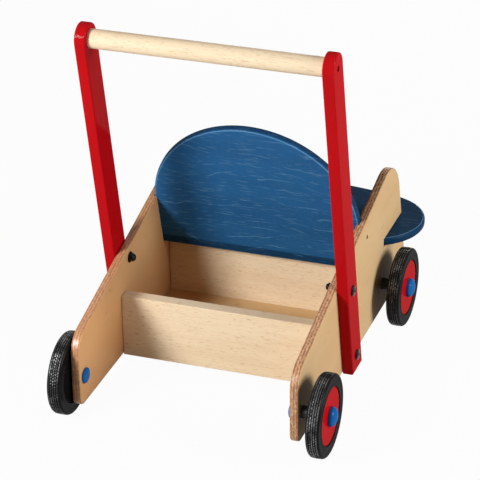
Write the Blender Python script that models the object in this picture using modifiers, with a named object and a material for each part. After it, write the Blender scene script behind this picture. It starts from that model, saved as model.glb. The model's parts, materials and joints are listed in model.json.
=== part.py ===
"""Baby push walker: a plywood wagon with a storage box, a seat in front and a push bar behind.

Lengths are in metres and angles in degrees. +Z is up, +Y is the way it is pushed, +X is its right
side. The origin is on the ground, in the middle of the walker's length and width.
"""
import math

import bmesh
import bpy
from mathutils import Matrix, Vector

# Fit between neighbours, and the fineness of round shapes
CLEARANCE = 0.0003
CUT_MARGIN = 0.004
EDGE_STEPS = 1
DOME_STEPS = 3
CORNER_STEPS = 8
WIDE_ARC_STEPS = 36
WHEEL_STEPS = 32
CAP_STEPS = 16
PIN_STEPS = 12

# Body
BODY_WIDTH = 0.306
WHEELBASE = 0.361
GROUND_CLEARANCE = 0.015

# Side panels
PANEL_THICKNESS = 0.012
PANEL_EDGE = 0.0025
PANEL_REAR_OVERHANG = 0.016
PANEL_REAR_HEIGHT = 0.114
PANEL_TIP_AHEAD = 0.065
PANEL_TIP_HEIGHT = 0.226
PANEL_FRONT_LEAN = 15.5
REAR_BOTTOM_RADIUS = 0.012
REAR_TOP_RADIUS = 0.032
TIP_RADIUS = 0.058
FRONT_BOTTOM_RADIUS = 0.040

# Storage box
BOARD_THICKNESS = 0.018
BOARD_EDGE = 0.0015
REAR_BOARD_AHEAD = 0.131
REAR_BOARD_HEIGHT = 0.089
FRONT_BOARD_SETBACK = 0.006
FLOOR_THICKNESS = 0.006
FLOOR_LIFT = 0.003
FLOOR_GROOVE_DEPTH = 0.006

# Hidden dowels
DOWEL_RADIUS = 0.004
DOWEL_LENGTH = 0.030
DOWEL_EDGE = 0.0008
DOWEL_IN_PANEL = 0.007
DOWEL_IN_SEAT = 0.006
DOWEL_EDGE_DISTANCE = 0.024
SEAT_DOWEL_INSET = 0.023

# Backrest
BACKREST_THICKNESS = 0.012
BACKREST_EDGE = 0.004
BACKREST_LEAN = 15.0
BACKREST_BEHIND_FRONT_AXLE = 0.0884
BACKREST_CENTRE_HEIGHT = 0.178
GROOVE_DEPTH = 0.0045
BACKREST_SCREW_DROP = 0.016
BACKREST_SCREW_LENGTH = 0.025
BACKREST_SCREW_RADIUS = 0.0018
BACKREST_SCREW_HEAD_RADIUS = 0.0030
BACKREST_SCREW_HEAD = 0.002
BACKREST_SCREW_SINK = 0.0015

# Seat
SEAT_THICKNESS = 0.012
SEAT_EDGE = 0.004
SEAT_OVERHANG = 0.036
SEAT_WING_RADIUS = 0.074
SEAT_WING_AHEAD = 0.075
SEAT_FRONT_BOW = 0.015
SEAT_TYRE_GAP = 0.0053

# Push arms and handle bar
ARM_WIDTH = 0.040
ARM_THICKNESS = 0.015
ARM_EDGE = 0.002
ARM_LEAN = 12.0
HANDLE_AHEAD = 0.0936
HANDLE_HEIGHT = 0.484
HANDLE_RADIUS = 0.0125
HANDLE_EDGE = 0.001
HANDLE_SOCKET_DEPTH = 0.006
HANDLE_SCREW_RADIUS = 0.002
HANDLE_SCREW_LENGTH = 0.030
HANDLE_SCREW_HEAD_RADIUS = 0.0036
HANDLE_SCREW_HEAD = 0.0025
HANDLE_SCREW_SINK = 0.0015

# Arm bolts and cap nuts
BOLT_RADIUS = 0.003
BOLT_HEAD_RADIUS = 0.0075
BOLT_HEAD = 0.003
BOLT_HEAD_EDGE = 0.001
BOLT_SOCKET_RADIUS = 0.0023
BOLT_SOCKET_DEPTH = 0.002
BOLT_IN_NUT = 0.006
UPPER_BOLT_INSET = 0.015
NUT_FLOOR_GAP = 0.007
NUT_FLANGE_RADIUS = 0.0075
NUT_FLANGE = 0.0020
NUT_BODY_RADIUS = 0.0055
NUT_CROWN = 0.0025

# Wheels
WHEEL_RADIUS = 0.055
WHEEL_GAP = 0.020
TUCKED_WHEEL_GAP = 0.001
TYRE_WIDTH = 0.018
TYRE_SHOULDER = 0.004
DISC_RADIUS = 0.038
DISC_INSET = 0.001
DISC_EDGE = 0.001
AXLE_RADIUS = 0.004
AXLE_EDGE = 0.0005
OUTER_CAP_RADIUS = 0.013
OUTER_CAP_RIM = 0.003
OUTER_CAP_DOME = 0.006
INNER_CAP_RADIUS = 0.0105
INNER_CAP_RIM = 0.0015
INNER_CAP_DOME = 0.0032
CAP_BORE_DEPTH = 0.003
SPACER_RADIUS = 0.008

# Places that follow from the sizes above
HALF_BODY = BODY_WIDTH / 2
INNER_HALF = HALF_BODY - PANEL_THICKNESS
WHEEL_FACET = math.pi / WHEEL_STEPS
AXLE_HEIGHT = WHEEL_RADIUS * math.cos(WHEEL_FACET)
OVERALL_LENGTH = AXLE_HEIGHT + WHEELBASE + SEAT_WING_AHEAD + SEAT_WING_RADIUS + SEAT_FRONT_BOW
REAR_AXLE_Y = AXLE_HEIGHT - OVERALL_LENGTH / 2
FRONT_AXLE_Y = REAR_AXLE_Y + WHEELBASE
AXLE_HOLE_RADIUS = AXLE_RADIUS + CLEARANCE

PANEL_REAR_Y = REAR_AXLE_Y - PANEL_REAR_OVERHANG
PANEL_TIP_Y = FRONT_AXLE_Y + PANEL_TIP_AHEAD
PANEL_SLOPE = (PANEL_TIP_HEIGHT - PANEL_REAR_HEIGHT) / (PANEL_TIP_Y - PANEL_REAR_Y)

DISC_THICKNESS = TYRE_WIDTH - 2 * DISC_INSET
# The rear left wheel is close against its panel, and the others stand off
WHEEL_GAPS = {
    "front_left": WHEEL_GAP,
    "front_right": WHEEL_GAP,
    "rear_left": TUCKED_WHEEL_GAP,
    "rear_right": WHEEL_GAP,
}

SEAT_WING_X = HALF_BODY + SEAT_OVERHANG - SEAT_WING_RADIUS
SEAT_WING_Y = FRONT_AXLE_Y + SEAT_WING_AHEAD
SEAT_FRONT_Y = SEAT_WING_Y + SEAT_WING_RADIUS + SEAT_FRONT_BOW
SEAT_TONGUE_HALF = INNER_HALF - CLEARANCE


def wing_rear_y(x):
    """How far back the seat's round wing reaches at a place across the walker."""
    across = x - SEAT_WING_X
    return SEAT_WING_Y - math.sqrt(SEAT_WING_RADIUS ** 2 - across ** 2)


# The seat just clears the front tyres, which turn under the back of its wings
tyre_reach = max(0.0, wing_rear_y(HALF_BODY + WHEEL_GAP) - FRONT_AXLE_Y)
SEAT_BOTTOM = AXLE_HEIGHT + math.sqrt(WHEEL_RADIUS ** 2 - tyre_reach ** 2) + SEAT_TYRE_GAP
SEAT_TOP = SEAT_BOTTOM + SEAT_THICKNESS

# The backrest's frame: the middle of its round top, its upward direction and its forward direction
backrest_angle = math.radians(BACKREST_LEAN)
BACKREST_UP = Vector((0, -math.sin(backrest_angle), math.cos(backrest_angle)))
BACKREST_FORWARD = Vector((0, math.cos(backrest_angle), math.sin(backrest_angle)))
BACKREST_HALF_WIDTH = INNER_HALF + GROOVE_DEPTH - CLEARANCE
backrest_rear = Vector((0, FRONT_AXLE_Y - BACKREST_BEHIND_FRONT_AXLE, BACKREST_CENTRE_HEIGHT))
BACKREST_CENTRE = backrest_rear + BACKREST_FORWARD * BACKREST_THICKNESS / 2
BACKREST_DROP = (BACKREST_CENTRE_HEIGHT - SEAT_BOTTOM) / math.cos(backrest_angle)
BACKREST_FRONT_Y = (
    backrest_rear.y
    + BACKREST_DROP * math.sin(backrest_angle)
    + BACKREST_THICKNESS / math.cos(backrest_angle)
)

SEAT_REAR_Y = BACKREST_FRONT_Y + CLEARANCE
SLOT_END_Y = wing_rear_y(INNER_HALF) - CLEARANCE

REAR_BOARD_Y = REAR_AXLE_Y + REAR_BOARD_AHEAD
REAR_BOARD_TOP = GROUND_CLEARANCE + REAR_BOARD_HEIGHT
FRONT_BOARD_Y = SEAT_REAR_Y + FRONT_BOARD_SETBACK
FRONT_BOARD_TOP = SEAT_BOTTOM - CLEARANCE
BOARD_HALF_WIDTH = INNER_HALF - CLEARANCE
FLOOR_BOTTOM = GROUND_CLEARANCE + FLOOR_LIFT
FLOOR_TOP = FLOOR_BOTTOM + FLOOR_THICKNESS

HANDLE_Y = REAR_AXLE_Y + HANDLE_AHEAD
arm_angle = math.radians(ARM_LEAN)
ARM_OUTER_X = HALF_BODY + CLEARANCE + ARM_THICKNESS


def arm_point(height):
    """The (Y, Z) point on the arm's middle line at a height."""
    return Vector((HANDLE_Y + (HANDLE_HEIGHT - height) * math.tan(arm_angle), height))


# The upper bolt sits a set way below the panel's sloping edge, the lower one just above the floor
slope_at_handle = PANEL_REAR_HEIGHT + PANEL_SLOPE * (HANDLE_Y - PANEL_REAR_Y)
slope_along_arm = PANEL_SLOPE * math.tan(arm_angle)
upper_bolt_reach = slope_at_handle + slope_along_arm * HANDLE_HEIGHT - UPPER_BOLT_INSET
UPPER_BOLT_HEIGHT = upper_bolt_reach / (1 + slope_along_arm)
LOWER_BOLT_HEIGHT = FLOOR_TOP + NUT_FLANGE_RADIUS + NUT_FLOOR_GAP
BOLT_POINTS = {"upper": arm_point(UPPER_BOLT_HEIGHT), "lower": arm_point(LOWER_BOLT_HEIGHT)}
BOLT_HOLE_RADIUS = BOLT_RADIUS + CLEARANCE

backrest_screw_place = BACKREST_CENTRE - BACKREST_UP * (BACKREST_SCREW_DROP / math.cos(backrest_angle))
BACKREST_SCREW_POINT = Vector((backrest_screw_place.y, backrest_screw_place.z))

SIDES = {"left": -1, "right": 1}
AXLES = {"front": FRONT_AXLE_Y, "rear": REAR_AXLE_Y}

# A board drawn in the (Y, Z) plane, with its thickness along X
ACROSS = Matrix(((0, 0, 1, 0), (1, 0, 0, 0), (0, 1, 0, 0), (0, 0, 0, 1)))


def new_collection(name):
    collection = bpy.data.collections.new(name)
    bpy.context.scene.collection.children.link(collection)
    return collection


def new_finish(name, colour, roughness, metallic=0.0):
    finish = bpy.data.materials.new(name)
    finish.use_nodes = True
    shader = finish.node_tree.nodes["Principled BSDF"]
    shader.inputs["Base Color"].default_value = (*colour, 1.0)
    shader.inputs["Roughness"].default_value = roughness
    shader.inputs["Metallic"].default_value = metallic
    finish.diffuse_color = (*colour, 1.0)
    return finish


def add_part(name, mesh, finish, place=Matrix()):
    """Put a mesh in the walker's collection, smooth on its round faces."""
    mesh.materials.clear()
    mesh.materials.append(finish)
    mesh.shade_smooth()
    mesh.set_sharp_from_angle(angle=math.radians(35))
    part = bpy.data.objects.new(name, mesh)
    part.matrix_world = place
    walker.objects.link(part)
    return part


def evaluated_mesh(item):
    bpy.context.view_layer.update()
    return bpy.data.meshes.new_from_object(item.evaluated_get(bpy.context.evaluated_depsgraph_get()))


def arc(centre, radius, start, end, steps):
    """Points on a circle from one angle to another, both included."""
    points = []
    for step in range(steps + 1):
        angle = start + (end - start) * step / steps
        points.append((centre[0] + radius * math.cos(angle), centre[1] + radius * math.sin(angle)))
    return points


def rounded_outline(corners):
    """A closed outline from (x, y, corner radius), with an arc at each corner that has a radius."""
    outline = []
    for index, (x, y, radius) in enumerate(corners):
        corner = Vector((x, y))
        if radius == 0:
            outline.append(corner)
            continue
        back = (Vector(corners[index - 1][:2]) - corner).normalized()
        onward = (Vector(corners[(index + 1) % len(corners)][:2]) - corner).normalized()
        half = back.angle(onward) / 2
        centre = corner + (back + onward).normalized() * radius / math.sin(half)
        first = corner + back * radius / math.tan(half) - centre
        last = corner + onward * radius / math.tan(half) - centre
        turn = math.pi - 2 * half
        if first.x * last.y - first.y * last.x < 0:
            turn = -turn
        start = math.atan2(first.y, first.x)
        outline.extend(arc(centre, radius, start, start + turn, CORNER_STEPS))
    return outline


def board_from_outline(name, outline, thickness, edge, finish, place):
    """A board sawn to an outline, with its edges rounded over."""
    curve = bpy.data.curves.new(name, "CURVE")
    curve.dimensions = "2D"
    curve.fill_mode = "BOTH"
    curve.extrude = thickness / 2 - edge
    curve.bevel_depth = edge
    curve.bevel_resolution = EDGE_STEPS
    curve.offset = -edge
    spline = curve.splines.new("POLY")
    spline.points.add(len(outline) - 1)
    for point, (x, y) in zip(spline.points, outline):
        point.co = (x, y, 0, 1)
    spline.use_cyclic_u = True
    drawn = bpy.data.objects.new(name, curve)
    cutters.objects.link(drawn)
    mesh = evaluated_mesh(drawn)
    bpy.data.objects.remove(drawn)
    shape = bmesh.new()
    shape.from_mesh(mesh)
    bmesh.ops.remove_doubles(shape, verts=shape.verts, dist=CLEARANCE / 100)
    bmesh.ops.recalc_face_normals(shape, faces=shape.faces)
    shape.to_mesh(mesh)
    shape.free()
    return add_part(name, mesh, finish, place)


def block_mesh(low, high):
    mesh = bpy.data.meshes.new("block")
    low = Vector(low)
    high = Vector(high)
    shape = bmesh.new()
    place = Matrix.Translation((low + high) / 2) @ Matrix.Diagonal((*(high - low), 1))
    bmesh.ops.create_cube(shape, size=1, matrix=place)
    shape.to_mesh(mesh)
    shape.free()
    return mesh


def straight_board(name, low, high, finish):
    """A squared board with its edges eased."""
    part = add_part(name, block_mesh(low, high), finish)
    eased = part.modifiers.new("eased_edges", "BEVEL")
    eased.width = BOARD_EDGE
    eased.segments = EDGE_STEPS
    eased.limit_method = "ANGLE"
    return part


def turned(name, profile, steps, finish, place):
    """A turned piece from (radius, height) points, down its outer side and back up any bore."""
    mesh = bpy.data.meshes.new(name)
    closed = profile[0][0] > 0
    edges = [(index, index + 1) for index in range(len(profile) - 1)]
    if closed:
        edges.append((len(profile) - 1, 0))
    mesh.from_pydata([(radius, 0, height) for radius, height in profile], edges, [])
    part = add_part(name, mesh, finish, place)
    screw = part.modifiers.new("turning", "SCREW")
    screw.steps = steps
    screw.render_steps = steps
    screw.use_merge_vertices = True
    screw.merge_threshold = CLEARANCE / 100
    return part


def facing(x, y, z, direction):
    """A place whose own upward axis points along a direction."""
    turn = Vector((0, 0, 1)).rotation_difference(Vector(direction)).to_matrix().to_4x4()
    return Matrix.Translation((x, y, z)) @ turn


def outward(x, y, z, side):
    """A place on one side of the walker whose own upward axis points away from its middle."""
    return facing(side * x, y, z, (side, 0, 0))


def add_cutter(name, mesh, place=Matrix()):
    cutter = bpy.data.objects.new(name, mesh)
    cutter.matrix_world = place
    cutter.hide_render = True
    cutter.display_type = "WIRE"
    cutters.objects.link(cutter)
    return cutter


def cut(part, cutter):
    difference = part.modifiers.new(cutter.name, "BOOLEAN")
    difference.operation = "DIFFERENCE"
    difference.solver = "EXACT"
    difference.object = cutter


def drill(part, label, bores, steps=PIN_STEPS):
    """Cut round bores, each given by its two ends and its radius. Bores in one call stay apart."""
    mesh = bpy.data.meshes.new(label)
    shape = bmesh.new()
    for start, end, radius in bores:
        start = Vector(start)
        end = Vector(end)
        place = facing(*((start + end) / 2), end - start)
        bmesh.ops.create_cone(
            shape, cap_ends=True, segments=steps, radius1=radius, radius2=radius,
            depth=(end - start).length, matrix=place,
        )
    shape.to_mesh(mesh)
    shape.free()
    cut(part, add_cutter(part.name + "_" + label, mesh))


def cross_bores(side, points, radius, from_x, to_x):
    """Bores along X at (Y, Z) points on one side of the walker."""
    return [((side * from_x, y, z), (side * to_x, y, z), radius) for y, z in points]


def repeat(pattern, places, finish):
    """Place copies of a pattern piece, given by name and place, and remove the pattern."""
    mesh = evaluated_mesh(pattern)
    bpy.data.objects.remove(pattern)
    for name, place in places.items():
        add_part(name, mesh, finish, place)


def pin_profile(radius, low, high, edge):
    """A round pin from one height to another, with chamfered ends."""
    top = [(0, high), (radius - edge, high), (radius, high - edge)]
    bottom = [(radius, low + edge), (radius - edge, low), (0, low)]
    return top + bottom


def tube_profile(outer, inner, low, high):
    return [(outer, high), (outer, low), (inner, low), (inner, high)]


def dome_profile(radius, base, rise):
    """The round top of a turned piece, from its middle down to its full radius."""
    points = [(0, base + rise)]
    for step in range(1, DOME_STEPS + 1):
        angle = math.pi / 2 * step / DOME_STEPS
        points.append((radius * math.sin(angle), base + rise * math.cos(angle)))
    return points


def screw_profile(head_radius, head, radius, length):
    """A round-head screw whose head stands on height 0, with its shank and point below."""
    shank = [(radius, 0), (radius, radius - length), (0, -length)]
    return dome_profile(head_radius, 0, head) + shank


def board_dowel_points(y, top):
    """Where the dowels of an upright board enter the panels, by name, as (Y, Z)."""
    middle = y + BOARD_THICKNESS / 2
    return {
        "lower": (middle, GROUND_CLEARANCE + DOWEL_EDGE_DISTANCE),
        "upper": (middle, top - DOWEL_EDGE_DISTANCE),
    }


for leftover in list(bpy.data.objects):
    bpy.data.objects.remove(leftover)
walker = new_collection("baby_push_walker")
cutters = new_collection("cutters")

plywood = new_finish("birch_plywood", (0.62, 0.42, 0.23), 0.5)
beech = new_finish("beech", (0.72, 0.50, 0.28), 0.5)
blue_ply = new_finish("blue_stained_plywood", (0.02, 0.17, 0.45), 0.4)
red_lacquer = new_finish("red_lacquer", (0.55, 0.01, 0.02), 0.25)
black_metal = new_finish("black_metal", (0.01, 0.01, 0.012), 0.35, 1.0)
steel = new_finish("steel", (0.2, 0.2, 0.2), 0.35, 1.0)
rubber = new_finish("black_rubber", (0.012, 0.012, 0.013), 0.6)
blue_plastic = new_finish("blue_plastic", (0.01, 0.14, 0.48), 0.2)
black_plastic = new_finish("black_plastic", (0.012, 0.012, 0.013), 0.4)

rear_dowel_points = board_dowel_points(REAR_BOARD_Y, REAR_BOARD_TOP)
front_dowel_points = board_dowel_points(FRONT_BOARD_Y, FRONT_BOARD_TOP)
DOWEL_HOLE_RADIUS = DOWEL_RADIUS + CLEARANCE
DOWEL_INNER_X = INNER_HALF + DOWEL_IN_PANEL - DOWEL_LENGTH


def front_edge_y(height):
    """Where the panel's leaning front edge is at a height."""
    return PANEL_TIP_Y + (PANEL_TIP_HEIGHT - height) * math.tan(math.radians(PANEL_FRONT_LEAN))


def panel_outline():
    """The side panel in (Y, Z), with the slot that takes the seat from the front."""
    slot_low = SEAT_BOTTOM - CLEARANCE
    slot_high = SEAT_TOP + CLEARANCE
    return rounded_outline([
        (PANEL_REAR_Y, GROUND_CLEARANCE, REAR_BOTTOM_RADIUS),
        (front_edge_y(GROUND_CLEARANCE), GROUND_CLEARANCE, FRONT_BOTTOM_RADIUS),
        (front_edge_y(slot_low), slot_low, 0),
        (SLOT_END_Y, slot_low, 0),
        (SLOT_END_Y, slot_high, 0),
        (front_edge_y(slot_high), slot_high, 0),
        (PANEL_TIP_Y, PANEL_TIP_HEIGHT, TIP_RADIUS),
        (PANEL_REAR_Y, PANEL_REAR_HEIGHT, REAR_TOP_RADIUS),
    ])


def backrest_place():
    """The backrest's drawing plane: X across, Y up the board, Z to the rear."""
    columns = (Vector((1, 0, 0)), BACKREST_UP, -BACKREST_FORWARD)
    return Matrix.Translation(BACKREST_CENTRE) @ Matrix(columns).transposed().to_4x4()


# Side panels, with the backrest's groove and the holes for axles, bolts, dowels and screws
groove_half = BACKREST_THICKNESS / 2 + CLEARANCE
groove_bottom = -(BACKREST_DROP + CLEARANCE)
for name, side in SIDES.items():
    middle_x = side * (INNER_HALF + PANEL_THICKNESS / 2)
    panel = board_from_outline(
        "side_panel_" + name, panel_outline(), PANEL_THICKNESS, PANEL_EDGE, plywood,
        Matrix.Translation((middle_x, 0, 0)) @ ACROSS,
    )
    groove_x = sorted((side * (INNER_HALF - CUT_MARGIN), side * (INNER_HALF + GROOVE_DEPTH)))
    groove = block_mesh(
        (groove_x[0], groove_bottom, -groove_half),
        (groove_x[1], PANEL_TIP_HEIGHT, groove_half),
    )
    cut(panel, add_cutter(panel.name + "_groove", groove, backrest_place()))
    through = (INNER_HALF - CUT_MARGIN, HALF_BODY + CUT_MARGIN)
    axle_points = [(y, AXLE_HEIGHT) for y in AXLES.values()]
    drill(panel, "axle_holes", cross_bores(side, axle_points, AXLE_HOLE_RADIUS, *through))
    drill(panel, "bolt_holes", cross_bores(side, BOLT_POINTS.values(), BOLT_HOLE_RADIUS, *through))
    dowel_points = [*rear_dowel_points.values(), *front_dowel_points.values()]
    drill(panel, "dowel_holes", cross_bores(
        side, dowel_points, DOWEL_HOLE_RADIUS,
        INNER_HALF - CUT_MARGIN, INNER_HALF + DOWEL_IN_PANEL + CLEARANCE,
    ))
    drill(panel, "screw_hole", cross_bores(
        side, [BACKREST_SCREW_POINT], BACKREST_SCREW_RADIUS + CLEARANCE, *through,
    ))
    sink = BACKREST_SCREW_HEAD + BACKREST_SCREW_SINK
    drill(panel, "screw_recess", cross_bores(
        side, [BACKREST_SCREW_POINT], BACKREST_SCREW_HEAD_RADIUS + CLEARANCE,
        HALF_BODY - sink, HALF_BODY + CUT_MARGIN,
    ))

# Upright boards of the box, doweled between the panels and grooved for the floor
upright_boards = [
    ("rear_board", REAR_BOARD_Y, REAR_BOARD_TOP, rear_dowel_points),
    ("front_board", FRONT_BOARD_Y, FRONT_BOARD_TOP, front_dowel_points),
]
floor_rear_y = REAR_BOARD_Y + BOARD_THICKNESS - FLOOR_GROOVE_DEPTH
floor_front_y = FRONT_BOARD_Y + FLOOR_GROOVE_DEPTH
floor_space = block_mesh(
    (-INNER_HALF - CUT_MARGIN, floor_rear_y, FLOOR_BOTTOM - CLEARANCE),
    (INNER_HALF + CUT_MARGIN, floor_front_y, FLOOR_TOP + CLEARANCE),
)
floor_groove = add_cutter("floor_groove", floor_space)
boards = {}
for name, y, top, dowel_points in upright_boards:
    board = straight_board(
        name,
        (-BOARD_HALF_WIDTH, y, GROUND_CLEARANCE),
        (BOARD_HALF_WIDTH, y + BOARD_THICKNESS, top),
        beech,
    )
    cut(board, floor_groove)
    dowel_bores = []
    for side in SIDES.values():
        dowel_bores += cross_bores(
            side, dowel_points.values(), DOWEL_HOLE_RADIUS,
            DOWEL_INNER_X - CLEARANCE, INNER_HALF + CUT_MARGIN,
        )
    drill(board, "dowel_holes", dowel_bores)
    boards[name] = board

# Box floor, held in the grooves of the two boards
add_part(
    "box_floor",
    block_mesh(
        (-BOARD_HALF_WIDTH, floor_rear_y + CLEARANCE, FLOOR_BOTTOM),
        (BOARD_HALF_WIDTH, floor_front_y - CLEARANCE, FLOOR_TOP),
    ),
    plywood,
)

# Dowels of the two boards, let into the board and the panel
dowel_profile = pin_profile(DOWEL_RADIUS, 0, DOWEL_LENGTH, DOWEL_EDGE)
for board_name, points in (("rear_board", rear_dowel_points), ("front_board", front_dowel_points)):
    for level, (y, z) in points.items():
        for side_name, side in SIDES.items():
            turned(
                f"{board_name}_dowel_{level}_{side_name}", dowel_profile, PIN_STEPS, beech,
                outward(DOWEL_INNER_X, y, z, side),
            )

# Backrest: a half-round top on straight sides, standing in the panels' grooves
backrest_outline = arc((0, 0), BACKREST_HALF_WIDTH, 0, math.pi, WIDE_ARC_STEPS)
backrest_outline += [(-BACKREST_HALF_WIDTH, -BACKREST_DROP), (BACKREST_HALF_WIDTH, -BACKREST_DROP)]
backrest = board_from_outline(
    "backrest", backrest_outline, BACKREST_THICKNESS, BACKREST_EDGE, blue_ply, backrest_place(),
)
screw_seat_x = HALF_BODY - BACKREST_SCREW_HEAD - BACKREST_SCREW_SINK + CLEARANCE
screw_bores = []
for side in SIDES.values():
    screw_bores += cross_bores(
        side, [BACKREST_SCREW_POINT], BACKREST_SCREW_RADIUS + CLEARANCE,
        screw_seat_x - BACKREST_SCREW_LENGTH - CLEARANCE, HALF_BODY,
    )
drill(backrest, "screw_holes", screw_bores)

# Screws that hold the backrest in its grooves
backrest_screw_profile = screw_profile(
    BACKREST_SCREW_HEAD_RADIUS, BACKREST_SCREW_HEAD, BACKREST_SCREW_RADIUS, BACKREST_SCREW_LENGTH,
)
for name, side in SIDES.items():
    turned(
        "backrest_screw_" + name, backrest_screw_profile, PIN_STEPS, steel,
        outward(screw_seat_x, *BACKREST_SCREW_POINT, side),
    )


def seat_outline():
    """The seat in (X, Y): a tongue between the panels, a round wing each side and a bowed front."""
    front_reach = SEAT_FRONT_Y - SEAT_WING_Y
    front_radius = (SEAT_WING_X ** 2 + front_reach ** 2 - SEAT_WING_RADIUS ** 2) / (2 * SEAT_FRONT_BOW)
    front_centre_y = SEAT_FRONT_Y - front_radius
    join_angle = math.atan2(SEAT_WING_Y - front_centre_y, SEAT_WING_X)
    root_y = wing_rear_y(SEAT_TONGUE_HALF)
    root_angle = math.atan2(root_y - SEAT_WING_Y, SEAT_TONGUE_HALF - SEAT_WING_X)
    right = [(SEAT_TONGUE_HALF, SEAT_REAR_Y)]
    right += arc((SEAT_WING_X, SEAT_WING_Y), SEAT_WING_RADIUS, root_angle, join_angle, 3 * CORNER_STEPS)
    bow = arc((0, front_centre_y), front_radius, join_angle, math.pi - join_angle, CORNER_STEPS)
    left = [(-x, y) for x, y in reversed(right)]
    return right + bow[1:-1] + left


# Seat, slid into the panels' slots and doweled to the front board
seat = board_from_outline(
    "seat", seat_outline(), SEAT_THICKNESS, SEAT_EDGE, blue_ply,
    Matrix.Translation((0, 0, SEAT_BOTTOM + SEAT_THICKNESS / 2)),
)
seat_dowel_y = FRONT_BOARD_Y + BOARD_THICKNESS / 2
seat_dowel_top = SEAT_BOTTOM + DOWEL_IN_SEAT
seat_dowel_x = DOWEL_INNER_X - SEAT_DOWEL_INSET
seat_dowel_places = {"left": -seat_dowel_x, "middle": 0, "right": seat_dowel_x}
seat_bores = []
board_bores = []
for name, x in seat_dowel_places.items():
    bottom_z = seat_dowel_top - DOWEL_LENGTH
    turned(
        "seat_dowel_" + name, dowel_profile, PIN_STEPS, beech,
        Matrix.Translation((x, seat_dowel_y, bottom_z)),
    )
    seat_bores.append((
        (x, seat_dowel_y, SEAT_BOTTOM - CUT_MARGIN), (x, seat_dowel_y, seat_dowel_top + CLEARANCE),
        DOWEL_HOLE_RADIUS,
    ))
    board_bores.append((
        (x, seat_dowel_y, bottom_z - CLEARANCE), (x, seat_dowel_y, SEAT_BOTTOM + CUT_MARGIN),
        DOWEL_HOLE_RADIUS,
    ))
drill(seat, "dowel_holes", seat_bores)
drill(boards["front_board"], "seat_dowel_holes", board_bores)


def arm_outline():
    """The push arm in (Y, Z): round about the handle bar, cut level at the bottom."""
    half = ARM_WIDTH / 2
    bottom = arm_point(GROUND_CLEARANCE)
    level_half = half / math.cos(arm_angle)
    top = arc((HANDLE_Y, HANDLE_HEIGHT), half, arm_angle, arm_angle + math.pi, 2 * CORNER_STEPS)
    return top + [(bottom.x - level_half, bottom.y), (bottom.x + level_half, bottom.y)]


# Push arms, bolted to the outside of the panels, with a blind socket for the handle bar
handle_point = [(HANDLE_Y, HANDLE_HEIGHT)]
handle_screw_seat_x = ARM_OUTER_X - HANDLE_SCREW_SINK - HANDLE_SCREW_HEAD + CLEARANCE
socket_x = HALF_BODY + CLEARANCE + HANDLE_SOCKET_DEPTH
for name, side in SIDES.items():
    middle_x = side * (ARM_OUTER_X - ARM_THICKNESS / 2)
    arm = board_from_outline(
        "arm_" + name, arm_outline(), ARM_THICKNESS, ARM_EDGE, red_lacquer,
        Matrix.Translation((middle_x, 0, 0)) @ ACROSS,
    )
    through = (HALF_BODY - CUT_MARGIN, ARM_OUTER_X + CUT_MARGIN)
    drill(arm, "bolt_holes", cross_bores(side, BOLT_POINTS.values(), BOLT_HOLE_RADIUS, *through))
    drill(arm, "screw_hole", cross_bores(side, handle_point, HANDLE_SCREW_RADIUS + CLEARANCE, *through))
    drill(arm, "handle_socket", cross_bores(
        side, handle_point, HANDLE_RADIUS + CLEARANCE, HALF_BODY - CUT_MARGIN, socket_x,
    ), WHEEL_STEPS)
    drill(arm, "screw_recess", cross_bores(
        side, handle_point, HANDLE_SCREW_HEAD_RADIUS + CLEARANCE,
        handle_screw_seat_x - CLEARANCE, ARM_OUTER_X + CUT_MARGIN,
    ))

# Handle bar, a dowel let into both arms
handle_half = socket_x - CLEARANCE
handle = turned(
    "handle_bar", pin_profile(HANDLE_RADIUS, -handle_half, handle_half, HANDLE_EDGE), WHEEL_STEPS, beech,
    facing(0, HANDLE_Y, HANDLE_HEIGHT, (1, 0, 0)),
)
pilot_end_x = handle_screw_seat_x - HANDLE_SCREW_LENGTH - CLEARANCE
handle_bores = []
for side in SIDES.values():
    handle_bores += cross_bores(
        side, handle_point, HANDLE_SCREW_RADIUS + CLEARANCE, pilot_end_x, handle_half + CUT_MARGIN,
    )
drill(handle, "screw_holes", handle_bores)

# Screws through the arms into the ends of the handle bar
handle_screw_profile = screw_profile(
    HANDLE_SCREW_HEAD_RADIUS, HANDLE_SCREW_HEAD, HANDLE_SCREW_RADIUS, HANDLE_SCREW_LENGTH,
)
for name, side in SIDES.items():
    turned(
        "handle_screw_" + name, handle_screw_profile, PIN_STEPS, steel,
        outward(handle_screw_seat_x, HANDLE_Y, HANDLE_HEIGHT, side),
    )

# Bolts through the arms and panels, with a hexagon socket in each head
bolt_seat_x = ARM_OUTER_X + CLEARANCE
nut_face_x = INNER_HALF - CLEARANCE
bolt_length = bolt_seat_x - nut_face_x + BOLT_IN_NUT
bolt = turned(
    "bolt",
    [
        (0, BOLT_HEAD), (BOLT_HEAD_RADIUS - BOLT_HEAD_EDGE, BOLT_HEAD),
        (BOLT_HEAD_RADIUS, BOLT_HEAD - BOLT_HEAD_EDGE), (BOLT_HEAD_RADIUS, 0),
        (BOLT_RADIUS, 0), (BOLT_RADIUS, -bolt_length), (0, -bolt_length),
    ],
    PIN_STEPS, black_metal, Matrix(),
)
hexagon = bpy.data.meshes.new("hexagon")
shape = bmesh.new()
bmesh.ops.create_cone(
    shape, cap_ends=True, segments=6, radius1=BOLT_SOCKET_RADIUS, radius2=BOLT_SOCKET_RADIUS,
    depth=2 * BOLT_SOCKET_DEPTH, matrix=Matrix.Translation((0, 0, BOLT_HEAD)),
)
shape.to_mesh(hexagon)
shape.free()
cut(bolt, add_cutter("hexagon_socket", hexagon))
bolt_places = {}
for level, (y, z) in BOLT_POINTS.items():
    for name, side in SIDES.items():
        bolt_places[f"arm_bolt_{level}_{name}"] = outward(bolt_seat_x, y, z, side)
repeat(bolt, bolt_places, black_metal)

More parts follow.
